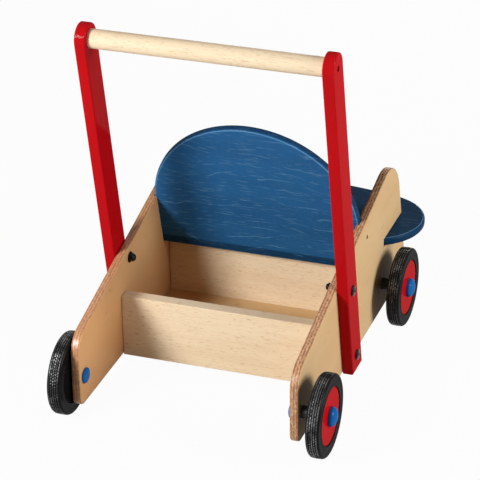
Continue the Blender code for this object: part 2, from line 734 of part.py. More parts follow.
# Cap nuts on the bolts, inside the panels
nut_bore_depth = BOLT_IN_NUT + CLEARANCE
nut_profile = dome_profile(NUT_BODY_RADIUS, nut_bore_depth, NUT_CROWN) + [
    (NUT_BODY_RADIUS, NUT_FLANGE), (NUT_FLANGE_RADIUS, NUT_FLANGE), (NUT_FLANGE_RADIUS, 0),
    (BOLT_HOLE_RADIUS, 0), (BOLT_HOLE_RADIUS, nut_bore_depth), (0, nut_bore_depth),
]
for level, (y, z) in BOLT_POINTS.items():
    for name, side in SIDES.items():
        turned(
            f"arm_nut_{level}_{name}", nut_profile, PIN_STEPS, black_metal,
            facing(side * nut_face_x, y, z, (-side, 0, 0)),
        )


def tyre_profile():
    """A tyre's section: round shoulders outside, a plain bore that grips the disc."""
    half = TYRE_WIDTH / 2
    shoulder = WHEEL_RADIUS - TYRE_SHOULDER
    steps = EDGE_STEPS + 1
    upper = arc((shoulder, half - TYRE_SHOULDER), TYRE_SHOULDER, math.pi / 2, 0, steps)
    lower = arc((shoulder, TYRE_SHOULDER - half), TYRE_SHOULDER, 0, -math.pi / 2, steps)
    bore = DISC_RADIUS + CLEARANCE
    return upper + lower + [(bore, -half), (bore, half)]


def disc_profile():
    """A wheel disc with eased rims and a bore that turns on the axle."""
    half = DISC_THICKNESS / 2
    return [
        (DISC_RADIUS - DISC_EDGE, half), (DISC_RADIUS, half - DISC_EDGE),
        (DISC_RADIUS, DISC_EDGE - half), (DISC_RADIUS - DISC_EDGE, -half),
        (AXLE_HOLE_RADIUS, -half), (AXLE_HOLE_RADIUS, half),
    ]


def cap_profile(radius, rim, dome):
    """A domed cap with a blind bore, pushed on the end of an axle."""
    bore = [(AXLE_HOLE_RADIUS, 0), (AXLE_HOLE_RADIUS, CAP_BORE_DEPTH), (0, CAP_BORE_DEPTH)]
    return dome_profile(radius, rim, dome) + [(radius, 0)] + bore


# Wheels: a disc with a tyre turns on a stub axle, between a spacer and a cap
outer_cap_profile = cap_profile(OUTER_CAP_RADIUS, OUTER_CAP_RIM, OUTER_CAP_DOME)
inner_cap_profile = cap_profile(INNER_CAP_RADIUS, INNER_CAP_RIM, INNER_CAP_DOME)
inner_cap_x = INNER_HALF - CLEARANCE
axle_inner_x = inner_cap_x - CAP_BORE_DEPTH + CLEARANCE
standing_on_facet = Matrix.Rotation(WHEEL_FACET, 4, "Z")
for axle_name, y in AXLES.items():
    for side_name, side in SIDES.items():
        corner = axle_name + "_" + side_name
        disc_inner_x = HALF_BODY + WHEEL_GAPS[corner] + DISC_INSET
        outer_cap_x = disc_inner_x + DISC_THICKNESS + CLEARANCE
        axle_outer_x = outer_cap_x + CAP_BORE_DEPTH - CLEARANCE
        hub = outward(disc_inner_x + DISC_THICKNESS / 2, y, AXLE_HEIGHT, side) @ standing_on_facet
        turned("wheel_disc_" + corner, disc_profile(), WHEEL_STEPS, red_lacquer, hub)
        turned("tyre_" + corner, tyre_profile(), WHEEL_STEPS, rubber, hub)
        turned(
            "axle_" + corner, pin_profile(AXLE_RADIUS, axle_inner_x, axle_outer_x, AXLE_EDGE),
            PIN_STEPS, steel, outward(0, y, AXLE_HEIGHT, side),
        )
        turned(
            "wheel_spacer_" + corner,
            tube_profile(SPACER_RADIUS, AXLE_HOLE_RADIUS, HALF_BODY + CLEARANCE, disc_inner_x - CLEARANCE),
            PIN_STEPS, black_plastic, outward(0, y, AXLE_HEIGHT, side),
        )
        turned(
            "outer_cap_" + corner, outer_cap_profile, CAP_STEPS, blue_plastic,
            outward(outer_cap_x, y, AXLE_HEIGHT, side),
        )
        turned(
            "inner_cap_" + corner, inner_cap_profile, CAP_STEPS, blue_plastic,
            facing(side * inner_cap_x, y, AXLE_HEIGHT, (-side, 0, 0)),
        )
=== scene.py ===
"""The looks of a baby push walker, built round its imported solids.

Lengths are in metres in the walker's frame: +Z up, +Y the way it is pushed, +X its right side.
"""

import json
import math

import bmesh
import bpy
from mathutils import Matrix, Vector


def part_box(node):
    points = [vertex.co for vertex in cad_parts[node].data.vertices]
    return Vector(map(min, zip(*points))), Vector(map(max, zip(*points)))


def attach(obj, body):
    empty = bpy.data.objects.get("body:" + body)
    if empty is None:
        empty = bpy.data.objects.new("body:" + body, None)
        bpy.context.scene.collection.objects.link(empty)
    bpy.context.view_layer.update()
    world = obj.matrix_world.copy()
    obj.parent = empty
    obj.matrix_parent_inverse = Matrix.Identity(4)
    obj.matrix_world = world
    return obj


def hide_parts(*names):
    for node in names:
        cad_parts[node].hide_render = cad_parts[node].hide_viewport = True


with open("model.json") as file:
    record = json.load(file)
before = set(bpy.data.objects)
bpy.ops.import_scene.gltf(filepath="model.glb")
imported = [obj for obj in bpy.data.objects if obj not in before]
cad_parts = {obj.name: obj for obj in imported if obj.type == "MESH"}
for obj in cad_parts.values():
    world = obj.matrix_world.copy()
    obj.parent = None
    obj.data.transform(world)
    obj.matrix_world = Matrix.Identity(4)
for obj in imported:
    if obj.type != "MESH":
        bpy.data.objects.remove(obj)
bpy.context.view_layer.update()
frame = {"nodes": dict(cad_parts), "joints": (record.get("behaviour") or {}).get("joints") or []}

# Side panels. Two boards of 12 mm birch plywood, sawn to one outline and rounded over along their edges.
# Their clear lacquer shines on the sawn edges and is rubbed matt at the tips. A groove inside each one
# takes the backrest, and a slot from the front takes the seat.
FIT = 0.0003
WELD = 0.000002
CUT_MARGIN = 0.004
SHARP_ANGLE = math.radians(35)
FLAT_ANGLE = math.radians(0.1)
ROUND_STEPS = 4
CORNER_STEPS = 16
BORE_STEPS = 48
PANEL_EDGE = 0.0025
PANEL_REAR_HEIGHT = 0.114
PANEL_TIP_AHEAD = 0.065
PANEL_TIP_HEIGHT = 0.226
PANEL_FRONT_LEAN = math.radians(15.5)
REAR_BOTTOM_RADIUS = 0.012
REAR_TOP_RADIUS = 0.032
TIP_RADIUS = 0.058
FRONT_BOTTOM_RADIUS = 0.040
SLOT_END_AHEAD = 0.0054
BACKREST_LEAN = math.radians(15)
BACKREST_THICKNESS = 0.012
BACKREST_BEHIND = 0.0884
BACKREST_CENTRE_HEIGHT = 0.178
GROOVE_DEPTH = 0.0045
SCREW_RECESS_RADIUS = 0.0033
SCREW_RECESS_DEPTH = 0.0035
SIDES = {"left": -1, "right": 1}
# Sockets of a colour Mix node that share their names with its other sockets
MIX_FIRST = 6
MIX_SECOND = 7
MIX_RESULT = 2
# Where a broad noise turns from one tone to the other
PATCHES = (0.35, 0.7)

wheel_centres = {joint["child"]: Vector(joint["pos_m"]) for joint in frame["joints"]}
front_axle_y = wheel_centres["wheel_front_right"].y
panel_low, panel_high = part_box("side_panel_right")
seat_low, seat_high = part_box("seat")


class Flow:
    """A socket of a node tree. Sums on it add Math nodes, and make adds any other node."""

    def __init__(self, tree, socket=None):
        self.tree = tree
        self.socket = socket

    def make(self, kind, settings, inputs, output=0):
        node = self.tree.nodes.new(kind)
        for name, value in settings.items():
            setattr(node, name, value)
        for name, value in inputs.items():
            if isinstance(value, Flow):
                self.tree.links.new(value.socket, node.inputs[name])
            else:
                node.inputs[name].default_value = value
        return Flow(self.tree, node.outputs[output])

    def also(self, output):
        """Another output of the same node."""
        return Flow(self.tree, self.socket.node.outputs[output])

    def feed(self, node, name):
        """Link this socket to an input of a node."""
        self.tree.links.new(self.socket, node.inputs[name])

    def math(self, operation, *values):
        """A Math node on numbers and other sockets."""
        return self.make("ShaderNodeMath", {"operation": operation}, dict(enumerate(values)))

    def __add__(self, other):
        return self.math("ADD", self, other)

    def __radd__(self, other):
        return self.math("ADD", other, self)

    def __sub__(self, other):
        return self.math("SUBTRACT", self, other)

    def __rsub__(self, other):
        return self.math("SUBTRACT", other, self)

    def __mul__(self, other):
        return self.math("MULTIPLY", self, other)

    def __truediv__(self, other):
        return self.math("DIVIDE", self, other)

    def __abs__(self):
        return self.math("ABSOLUTE", self)

    def rise(self, low, high):
        """0 up to one value, 1 from the other on, and smooth between them."""
        inputs = {"Value": self, "From Min": low, "From Max": high}
        return self.make("ShaderNodeMapRange", {"interpolation_type": "SMOOTHSTEP"}, inputs)

    def mix(self, first, second):
        """The first colour where this value is 0 and the second where it is 1."""
        inputs = {"Factor": self, MIX_FIRST: first, MIX_SECOND: second}
        return self.make("ShaderNodeMix", {"data_type": "RGBA"}, inputs, MIX_RESULT)

    def noise(self, cells, detail=3.0, distortion=0.0):
        """Noise on this place, with its own number of cells per metre along each axis."""
        stretched = self.make("ShaderNodeVectorMath", {"operation": "MULTIPLY"}, {0: self, 1: cells})
        inputs = {"Vector": stretched, "Scale": 1.0, "Detail": detail, "Distortion": distortion}
        return self.make("ShaderNodeTexNoise", {}, inputs)

    def bump(self, shader, distance):
        """Raise the surface by this value times a distance."""
        normal = self.make("ShaderNodeBump", {}, {"Distance": distance, "Height": self}, output="Normal")
        normal.feed(shader, "Normal")


def new_finish(name, constants):
    """A material, its shader node and the flow of its Object coordinates."""
    finish = bpy.data.materials.new(name)
    finish.use_nodes = True
    shader = finish.node_tree.nodes["Principled BSDF"]
    for socket, value in constants.items():
        shader.inputs[socket].default_value = value
    return finish, shader, Flow(finish.node_tree).make("ShaderNodeTexCoord", {}, {}, output="Object")


def workpiece(name, data):
    """A new object, linked into the scene."""
    item = bpy.data.objects.new(name, data)
    bpy.context.scene.collection.objects.link(item)
    return item


def plain_mesh(item):
    """The mesh that an object shows, with its modifiers applied."""
    bpy.context.view_layer.update()
    return bpy.data.meshes.new_from_object(item.evaluated_get(bpy.context.evaluated_depsgraph_get()))


def cleaned(mesh):
    """Weld a mesh and turn its faces outwards."""
    shape = bmesh.new()
    shape.from_mesh(mesh)
    bmesh.ops.remove_doubles(shape, verts=shape.verts, dist=WELD)
    bmesh.ops.recalc_face_normals(shape, faces=shape.faces)
    shape.to_mesh(mesh)
    shape.free()
    return mesh


def arc(centre, radius, start, end, steps):
    """Points on a circle from one angle to another, both included."""
    angles = [start + (end - start) * step / steps for step in range(steps + 1)]
    return [(centre[0] + radius * math.cos(a), centre[1] + radius * math.sin(a)) for a in angles]


def rounded_outline(corners):
    """A closed outline from (x, y, corner radius), with an arc at each corner that has a radius."""
    outline = []
    for index, (x, y, radius) in enumerate(corners):
        corner = Vector((x, y))
        if radius == 0:
            outline.append(corner)
            continue
        back = (Vector(corners[index - 1][:2]) - corner).normalized()
        onward = (Vector(corners[(index + 1) % len(corners)][:2]) - corner).normalized()
        half = back.angle(onward) / 2
        centre = corner + (back + onward).normalized() * radius / math.sin(half)
        first = corner + back * radius / math.tan(half) - centre
        last = corner + onward * radius / math.tan(half) - centre
        turn = math.pi - 2 * half
        if first.x * last.y - first.y * last.x < 0:
            turn = -turn
        start = math.atan2(first.y, first.x)
        outline.extend(arc(centre, radius, start, start + turn, CORNER_STEPS))
    return outline


def sawn_board(outline, thickness, edge, place):
    """A board sawn to an outline and rounded over along its edges, as a mesh in its place."""
    curve = bpy.data.curves.new("outline", "CURVE")
    curve.dimensions = "2D"
    curve.fill_mode = "BOTH"
    curve.extrude = thickness / 2 - edge
    curve.bevel_depth = edge
    curve.bevel_resolution = ROUND_STEPS
    curve.offset = -edge
    spline = curve.splines.new("POLY")
    spline.points.add(len(outline) - 1)
    for point, (x, y) in zip(spline.points, outline):
        point.co = (x, y, 0, 1)
    spline.use_cyclic_u = True
    drawn = workpiece("outline", curve)
    mesh = cleaned(plain_mesh(drawn))
    bpy.data.objects.remove(drawn)
    shape = bmesh.new()
    shape.from_mesh(mesh)
    bmesh.ops.dissolve_limit(shape, angle_limit=FLAT_ANGLE, verts=shape.verts, edges=shape.edges)
    shape.to_mesh(mesh)
    shape.free()
    mesh.transform(place)
    return mesh


def block(low, high):
    """A box between two corners."""
    mesh = bpy.data.meshes.new("block")
    shape = bmesh.new()
    size = Vector(high) - Vector(low)
    middle = (Vector(high) + Vector(low)) / 2
    bmesh.ops.create_cube(shape, size=1, matrix=Matrix.Translation(middle) @ Matrix.Diagonal((*size, 1)))
    shape.to_mesh(mesh)
    shape.free()
    return mesh


def prism(sides, radius, low, high):
    """An upright prism round the Z axis."""
    mesh = bpy.data.meshes.new("prism")
    shape = bmesh.new()
    bmesh.ops.create_cone(
        shape, cap_ends=True, segments=sides, radius1=radius, radius2=radius, depth=high - low,
        matrix=Matrix.Translation((0, 0, (low + high) / 2)),
    )
    shape.to_mesh(mesh)
    shape.free()
    return mesh


def combined(mesh, tool, operation):
    """A mesh with a tool's shape taken out of it or joined to it."""
    board = workpiece("board", mesh)
    cutter = workpiece("cutter", tool)
    change = board.modifiers.new("change", "BOOLEAN")
    change.operation = operation
    change.solver = "EXACT"
    change.object = cutter
    result = plain_mesh(board)
    bpy.data.objects.remove(board)
    bpy.data.objects.remove(cutter)
    return result


def bored(mesh, face_x, outwards, middle, radius, depth):
    """A mesh with a round blind hole along X, sunk at (Y, Z) into a face that looks outwards."""
    low, high = sorted((face_x - outwards * depth, face_x + outwards * CUT_MARGIN))
    bore = prism(BORE_STEPS, radius, low, high)
    bore.transform(Matrix.Translation((0, *middle)) @ Matrix.Rotation(math.pi / 2, 4, "Y"))
    return combined(mesh, bore, "DIFFERENCE")


def add_piece(name, mesh, finish, slot, body, *nodes):
    """A finished piece that rides on a body and stands for CAD nodes, with its flat faces kept flat."""
    mesh.materials.clear()
    mesh.materials.append(finish)
    mesh.shade_smooth()
    mesh.set_sharp_from_angle(angle=SHARP_ANGLE)
    piece = workpiece(name, mesh)
    weighted = piece.modifiers.new("weighted_normals", "WEIGHTED_NORMAL")
    weighted.keep_sharp = True
    smooth = plain_mesh(piece)
    piece.modifiers.clear()
    piece.data = smooth
    smooth.name = name
    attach(piece, body)
    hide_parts(*nodes)
    return piece


PLY_COUNT = 7
PLY_FACE_DEPTH = 0.35
PLY_FACE = (0.71, 0.49, 0.262, 1)
PLY_FACE_WARM = (0.64, 0.40, 0.19, 1)
PLY_PAINTED_BOUNCE = (0.70, 0.38, 0.17, 1)
PLY_END_GRAIN = (0.56, 0.27, 0.14, 1)
PLY_PORE = (0.25, 0.075, 0.036, 1)
PLY_SHEEN = {"Specular IOR Level": 0.0, "Coat Roughness": 0.31}
PLY_RELIEF = 0.00012
PLY_WAVE_CELLS = (60, 60, 60)
PLY_WAVE_DEPTH = 0.9
PLY_PORE_CELLS = (420, 230, 230)
PLY_FIBRE_CELLS = (300, 12, 460)
PLY_TONE_CELLS = (5, 2.5, 11)
LEFT_SIDE_FROM = 0.05
LEFT_SIDE_TO = 0.12
TIP_RUBBED_FROM = 0.146
TIP_RUBBED_TO = 0.194

birch_ply, shader, place = new_finish("birch_plywood", PLY_SHEEN)
across = place.make("ShaderNodeSeparateXYZ", {}, {"Vector": place}, output="X")
inside = (abs(across) - panel_low.x) / (panel_high.x - panel_low.x)
inside = inside.math("MAXIMUM", inside, 0.0)
wobble = (place.noise(PLY_WAVE_CELLS) - 0.5) * PLY_WAVE_DEPTH
depth = (PLY_FACE_DEPTH + inside * (PLY_COUNT - 2 * PLY_FACE_DEPTH) + wobble) * math.pi
end_grain = 1 - depth.math("SINE", depth).rise(-0.3, 0.7)
pores = place.noise(PLY_PORE_CELLS, detail=2.0).rise(0.38, 0.58)
fibre = place.noise(PLY_FIBRE_CELLS)
tone = place.noise(PLY_TONE_CELLS, distortion=0.6)
on_left = (across * -1).rise(LEFT_SIDE_FROM, LEFT_SIDE_TO)
# The left panel is coloured a warmer orange: painted warm bounce light.
veneer_and_bounce = on_left.mix(PLY_FACE, PLY_PAINTED_BOUNCE)
face = (tone.rise(*PATCHES) * 0.55 + fibre.rise(0.45, 0.8) * 0.3).mix(veneer_and_bounce, PLY_FACE_WARM)
core = (inside * (1 - inside)).rise(0.06, 0.12)
speckle = pores * (1 - on_left * 0.35)
long_grain = (speckle * core * 0.5).mix(face, PLY_PORE)
ply_edge = (speckle * 0.75).mix(PLY_END_GRAIN, PLY_PORE)
end_grain.mix(long_grain, ply_edge).feed(shader, "Base Color")
(0.40 + fibre * 0.12 + end_grain * 0.15).feed(shader, "Roughness")
band_mask = across.also("Z").rise(TIP_RUBBED_FROM, TIP_RUBBED_TO)
((0.12 + core * 0.75) * (1 - band_mask * 0.9)).feed(shader, "Coat Weight")
(fibre * 0.4 - end_grain * (0.4 + pores)).bump(shader, PLY_RELIEF)

backrest_up = Vector((0, -math.sin(BACKREST_LEAN), math.cos(BACKREST_LEAN)))
backrest_forward = Vector((0, math.cos(BACKREST_LEAN), math.sin(BACKREST_LEAN)))
backrest_middle = Vector((0, front_axle_y - BACKREST_BEHIND, BACKREST_CENTRE_HEIGHT))
backrest_middle += backrest_forward * BACKREST_THICKNESS / 2
backrest_drop = (BACKREST_CENTRE_HEIGHT - seat_low.z) / math.cos(BACKREST_LEAN)
backrest_axes = Matrix((Vector((1, 0, 0)), backrest_up, -backrest_forward)).transposed().to_4x4()
backrest_place = Matrix.Translation(backrest_middle) @ backrest_axes
# A board drawn in (Y, Z), with its thickness along X
ACROSS = Matrix(((0, 0, 1, 0), (1, 0, 0, 0), (0, 1, 0, 0), (0, 0, 0, 1)))


def upright_board(node, outline, edge):
    """A board drawn in (Y, Z) in the place of a node, and the X of its inner and its outer face."""
    low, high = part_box(node)
    middle = Matrix.Translation(((low.x + high.x) / 2, 0, 0))
    board = sawn_board(outline, high.x - low.x, edge, middle @ ACROSS)
    return board, *sorted((low.x, high.x), key=abs)


def front_edge_y(height):
    """Where the panel's leaning front edge is at a height."""
    return front_axle_y + PANEL_TIP_AHEAD + (PANEL_TIP_HEIGHT - height) * math.tan(PANEL_FRONT_LEAN)


slot_low = seat_low.z - FIT
slot_high = seat_high.z + FIT
slot_end_y = front_axle_y + SLOT_END_AHEAD
panel_outline = rounded_outline([
    (panel_low.y, panel_low.z, REAR_BOTTOM_RADIUS),
    (front_edge_y(panel_low.z), panel_low.z, FRONT_BOTTOM_RADIUS),
    (front_edge_y(slot_low), slot_low, 0),
    (slot_end_y, slot_low, 0),
    (slot_end_y, slot_high, 0),
    (front_edge_y(slot_high), slot_high, 0),
    (front_edge_y(PANEL_TIP_HEIGHT), PANEL_TIP_HEIGHT, TIP_RADIUS),
    (panel_low.y, PANEL_REAR_HEIGHT, REAR_TOP_RADIUS),
])
for name, side in SIDES.items():
    node = "side_panel_" + name
    panel, inner_x, outer_x = upright_board(node, panel_outline, PANEL_EDGE)
    groove_x = sorted((inner_x - side * CUT_MARGIN, inner_x + side * GROOVE_DEPTH))
    groove_half = BACKREST_THICKNESS / 2 + FIT
    groove = block(
        (groove_x[0], -backrest_drop - FIT, -groove_half), (groove_x[1], PANEL_TIP_HEIGHT, groove_half),
    )
    groove.transform(backrest_place)
    panel = combined(panel, groove, "DIFFERENCE")
    screw_low, screw_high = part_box("backrest_screw_" + name)
    screw = (screw_low + screw_high) / 2
    panel = bored(panel, outer_x, side, screw.yz, SCREW_RECESS_RADIUS, SCREW_RECESS_DEPTH)
    add_piece(name + "_side_panel", panel, birch_ply, "birch_plywood", "wagon", node)

# Storage box. Two upright boards of solid beech, doweled between the panels and lacquered clear, with a
# thin plywood floor held in their grooves. The dowels and the floor keep their solids.
BOARD_EDGE = 0.0015
BEECH_PALE = (0.86, 0.70, 0.49, 1)
BEECH_HONEY = (0.76, 0.57, 0.36, 1)
BEECH_FLECK = (0.50, 0.26, 0.12, 1)
BEECH_RELIEF = 0.00008
BEECH_TONE_CELLS = (2.5, 26, 26)
BEECH_FIBRE_CELLS = (22, 620, 620)
BEECH_FLECK_CELLS = (120, 900, 900)

beech, shader, place = new_finish("beech", {"Specular IOR Level": 0.06})
tone = place.noise(BEECH_TONE_CELLS, distortion=0.5)
fibre = place.noise(BEECH_FIBRE_CELLS)
fleck = place.noise(BEECH_FLECK_CELLS, detail=2.0).rise(0.58, 0.70)
wood = (tone.rise(0.38, 0.68) * 0.5 + fibre.rise(0.42, 0.78) * 0.4).mix(BEECH_PALE, BEECH_HONEY)
(fleck * 0.45).mix(wood, BEECH_FLECK).feed(shader, "Base Color")
(0.40 + fibre * 0.14).feed(shader, "Roughness")
(fibre * 0.3 - fleck).bump(shader, BEECH_RELIEF)


def eased_board(low, high, edge):
    """A squared board with its edges rounded."""
    board = workpiece("board", block(low, high))
    eased = board.modifiers.new("eased_edges", "BEVEL")
    eased.width = edge
    eased.segments = ROUND_STEPS
    mesh = plain_mesh(board)
    bpy.data.objects.remove(board)
    return mesh


def refinish(finish, *nodes):
    """Give CAD nodes that stay in view a new material."""
    for node in nodes:
        for material_slot in frame["nodes"][node].material_slots:
            material_slot.material = finish


floor_low, floor_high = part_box("box_floor")
groove_room = Vector((CUT_MARGIN, FIT, FIT))
for name in ("rear", "front"):
    node = name + "_board"
    board = eased_board(*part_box(node), BOARD_EDGE)
    floor_groove = block(floor_low - groove_room, floor_high + groove_room)
    board = combined(board, floor_groove, "DIFFERENCE")
    add_piece(name + "_box_board", board, beech, "beech", "wagon", node)
refinish(birch_ply, "box_floor")
refinish(beech, *[node for node in frame["nodes"] if "dowel" in node])

# Backrest. A 12 mm plywood board with a half-round top, stained blue so that the grain shows and lacquered
# to a satin sheen. Its edges are rounded and coloured darker than the faces, with a painted highlight line
# where the rounding begins. It stands in the panels' grooves.
WIDE_ARC_STEPS = 96
BACKREST_EDGE = 0.004
BLUE = (0.022, 0.118, 0.292, 1)
BLUE_DEEP = (0.014, 0.078, 0.205, 1)
BLUE_DARK_EDGE_AND_SHADE = (0.009, 0.046, 0.115, 1)
BLUE_PALE = (0.15, 0.36, 0.58, 1)
BLUE_RELIEF = 0.00006
BLUE_TONE_CELLS = (4, 20, 20)
BLUE_FIBRE_CELLS = (50, 440, 440)
BLUE_MARK_CELLS = (900, 40, 40)
FIGURE_LINES = 70
FIGURE_SLOPE = 1.3
FIGURE_SWAY = 7
FIGURE_WAVE_CELLS = (5, 10, 10)
FIGURE_BREAK_CELLS = (45, 60, 60)
BLUE_SHEEN = {"Specular IOR Level": 0.0, "Coat Weight": 0.08, "Coat Roughness": 0.16}

blue_stain, shader, place = new_finish("blue_stained_plywood", BLUE_SHEEN)
along = place.make("ShaderNodeSeparateXYZ", {}, {"Vector": place}, output="Y")
sway = place.noise(FIGURE_WAVE_CELLS) * FIGURE_SWAY
figure = (along + along.also("Z") * FIGURE_SLOPE) * FIGURE_LINES + sway
ridge = 1 - abs(figure.math("FRACT", figure) * 2 - 1)
breaks = place.noise(FIGURE_BREAK_CELLS).rise(0.44, 0.60)
fibre = place.noise(BLUE_FIBRE_CELLS)
streak = ridge.rise(0.90, 0.99) * breaks
rounding = place.make("ShaderNodeAttribute", {"attribute_name": "rounding"}, {}, output="Fac")
# Painted highlight: a pale line where each rounded edge begins.
band_mask = rounding.rise(0.02, 0.08) * (1 - rounding.rise(0.12, 0.25))
cross_mark = place.noise(BLUE_MARK_CELLS).rise(0.56, 0.72)
tone = place.noise(BLUE_TONE_CELLS)
# The seat is coloured the darkest blue as painted shade. The outer part of each rounded edge gets the same
# darker blue.
on_seat = 1 - along.also("Z").rise(seat_high.z, seat_high.z + BACKREST_EDGE)
deep = tone.rise(*PATCHES) * 0.5 + fibre.rise(0.4, 0.75) * 0.5
dark_edge_and_shade = on_seat + rounding.rise(0.2, 0.5)
stain = dark_edge_and_shade.mix(deep.mix(BLUE, BLUE_DEEP), BLUE_DARK_EDGE_AND_SHADE)
grain = streak * 0.45 + fibre.rise(0.54, 0.72) * 0.30 + cross_mark * 0.06
(grain * (1 - dark_edge_and_shade * 0.6) + band_mask * 0.5).mix(stain, BLUE_PALE).feed(shader, "Base Color")
(0.36 + fibre * 0.12 + streak * 0.08).feed(shader, "Roughness")
(fibre * 0.5 - streak).bump(shader, BLUE_RELIEF)


def mark_rounding(mesh, facing):
    """Store how far the surface turns away from a board's face at each point, from 0 to 1."""
    mesh.attributes.new("rounding", "FLOAT", "POINT")
    for vertex, turn in zip(mesh.vertices, mesh.attributes["rounding"].data):
        turn.value = 1 - abs(vertex.normal.dot(facing))


backrest_half = panel_low.x + GROOVE_DEPTH - FIT
backrest_outline = arc((0, 0), backrest_half, 0, math.pi, WIDE_ARC_STEPS)
backrest_outline += [(-backrest_half, -backrest_drop), (backrest_half, -backrest_drop)]
backrest = sawn_board(backrest_outline, BACKREST_THICKNESS, BACKREST_EDGE, backrest_place)
mark_rounding(backrest, backrest_forward)
add_piece("round_backrest", backrest, blue_stain, "blue_plywood", "wagon", "backrest")

# Seat. A 12 mm plywood board in the blue stain, coloured darker as painted shade, with a tongue between the
# panels, a round wing over each front wheel and a bowed front. It slides into the panels' slots onto the
# front board.
SEAT_EDGE = 0.004
SEAT_HALF_WIDTH = 0.189
SEAT_WING_RADIUS = 0.074
SEAT_WING_AHEAD = 0.075
SEAT_FRONT_BOW = 0.015
seat_tongue_half = panel_low.x - FIT
wing_x = SEAT_HALF_WIDTH - SEAT_WING_RADIUS
wing_y = front_axle_y + SEAT_WING_AHEAD
front_reach = SEAT_WING_RADIUS + SEAT_FRONT_BOW
bow_radius = (wing_x ** 2 + front_reach ** 2 - SEAT_WING_RADIUS ** 2) / (2 * SEAT_FRONT_BOW)
bow_y = wing_y + front_reach - bow_radius
join_angle = math.atan2(wing_y - bow_y, wing_x)
root_angle = -math.acos((seat_tongue_half - wing_x) / SEAT_WING_RADIUS)
seat_right = [(seat_tongue_half, seat_low.y)]
seat_right += arc((wing_x, wing_y), SEAT_WING_RADIUS, root_angle, join_angle, 3 * CORNER_STEPS)
seat_bow = arc((0, bow_y), bow_radius, join_angle, math.pi - join_angle, 2 * CORNER_STEPS)
seat_left = [(-x, y) for x, y in reversed(seat_right)]
seat = sawn_board(
    seat_right + seat_bow[1:-1] + seat_left, seat_high.z - seat_low.z, SEAT_EDGE,
    Matrix.Translation((0, 0, (seat_low.z + seat_high.z) / 2)),
)
mark_rounding(seat, Vector((0, 0, 1)))
add_piece("winged_seat", seat, blue_stain, "blue_plywood", "wagon", "seat")

# Push arms. Two straight bars of beech in opaque glossy red lacquer, round at the top and cut level at
# the bottom. They are bolted to the outside of the panels and hold the handle bar in blind sockets.
ARM_WIDTH = 0.040
ARM_EDGE = 0.002
ARM_LEAN = math.radians(12)
HANDLE_RADIUS = 0.0125
HANDLE_SOCKET_DEPTH = 0.006
HANDLE_RECESS_RADIUS = 0.0039
HANDLE_RECESS_DEPTH = 0.004
RED = (0.51, 0.0045, 0.0075, 1)
RED_DEEP = (0.44, 0.0040, 0.0065, 1)
RED_SHEEN = {"Specular IOR Level": 0.0, "Coat Weight": 0.07, "Coat Roughness": 0.08}
ARM_RELIEF = 0.000015
ARM_TONE_CELLS = (9, 9, 5)
ARM_PORE_CELLS = (520, 520, 26)
ARM_PEEL_CELLS = (420, 420, 420)

red_lacquer, shader, place = new_finish("red_lacquer", RED_SHEEN)
tone = place.noise(ARM_TONE_CELLS)
pores = place.noise(ARM_PORE_CELLS, detail=2.0)
peel = place.noise(ARM_PEEL_CELLS, detail=1.0)
(tone.rise(*PATCHES) * 0.7 + pores.rise(0.5, 0.75) * 0.3).mix(RED, RED_DEEP).feed(shader, "Base Color")
(0.30 + pores * 0.12).feed(shader, "Roughness")
(pores * 0.7 + peel * 0.5).bump(shader, ARM_RELIEF)

handle_low, handle_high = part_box("handle_bar")
handle_middle = (handle_low + handle_high) / 2
arm_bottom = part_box("arm_right")[0].z
arm_half = ARM_WIDTH / 2
arm_bottom_y = handle_middle.y + (handle_middle.z - arm_bottom) * math.tan(ARM_LEAN)
arm_level_half = arm_half / math.cos(ARM_LEAN)
arm_outline = arc(handle_middle.yz, arm_half, ARM_LEAN, ARM_LEAN + math.pi, 3 * CORNER_STEPS)
arm_outline += [(arm_bottom_y - arm_level_half, arm_bottom), (arm_bottom_y + arm_level_half, arm_bottom)]
for name, side in SIDES.items():
    node = "arm_" + name
    arm, inner_x, outer_x = upright_board(node, arm_outline, ARM_EDGE)
    arm = bored(arm, inner_x, -side, handle_middle.yz, HANDLE_RADIUS + FIT, HANDLE_SOCKET_DEPTH)
    arm = bored(arm, outer_x, side, handle_middle.yz, HANDLE_RECESS_RADIUS, HANDLE_RECESS_DEPTH)
    add_piece(name + "_push_arm", arm, red_lacquer, "red_lacquer", "wagon", node)

# Handle bar. A 25 mm round beech dowel with a clear lacquer, turned smooth, eased at its ends and let into
# the arms' sockets.
HANDLE_EDGE = 0.001
HANDLE_STEPS = 96
# The circle that carries a turned profile round its axis
PATH_RADIUS = 0.05


def new_tree(name, inputs):
    """A geometry tree with named inputs, and a flow from each of them."""
    tree = bpy.data.node_groups.new(name, "GeometryNodeTree")
    for label, kind in inputs.items():
        tree.interface.new_socket(label, in_out="INPUT", socket_type=kind)
    tree.interface.new_socket("Mesh", in_out="OUTPUT", socket_type="NodeSocketGeometry")
    entry = tree.nodes.new("NodeGroupInput")
    return tree, {label: Flow(tree, entry.outputs[label]) for label in inputs}


def end_tree(mesh, finish):
    """Let a tree end in real geometry with a material."""
    real = mesh.make("GeometryNodeRealizeInstances", {}, {"Geometry": mesh})
    dressed = mesh.make("GeometryNodeSetMaterial", {}, {"Geometry": real, "Material": finish})
    dressed.feed(mesh.tree.nodes.new("NodeGroupOutput"), "Mesh")


def grown(base, tree, values):
    """The plain mesh that a tree makes of a base mesh, with the tree's named inputs set."""
    stock = workpiece("stock", base)
    growth = stock.modifiers.new(tree.name, "NODES")
    growth.node_group = tree
    for item in tree.interface.items_tree:
        if item.name in values:
            growth[item.identifier] = values[item.name]
    mesh = plain_mesh(stock)
    bpy.data.objects.remove(stock)
    return cleaned(mesh)


TURNING_INPUTS = {
    "Profile": "NodeSocketGeometry",
    "Path Radius": "NodeSocketFloat",
    "Steps": "NodeSocketInt",
    "Centre": "NodeSocketVector",
    "Turn": "NodeSocketVector",
    "Finish": "NodeSocketMaterial",
}


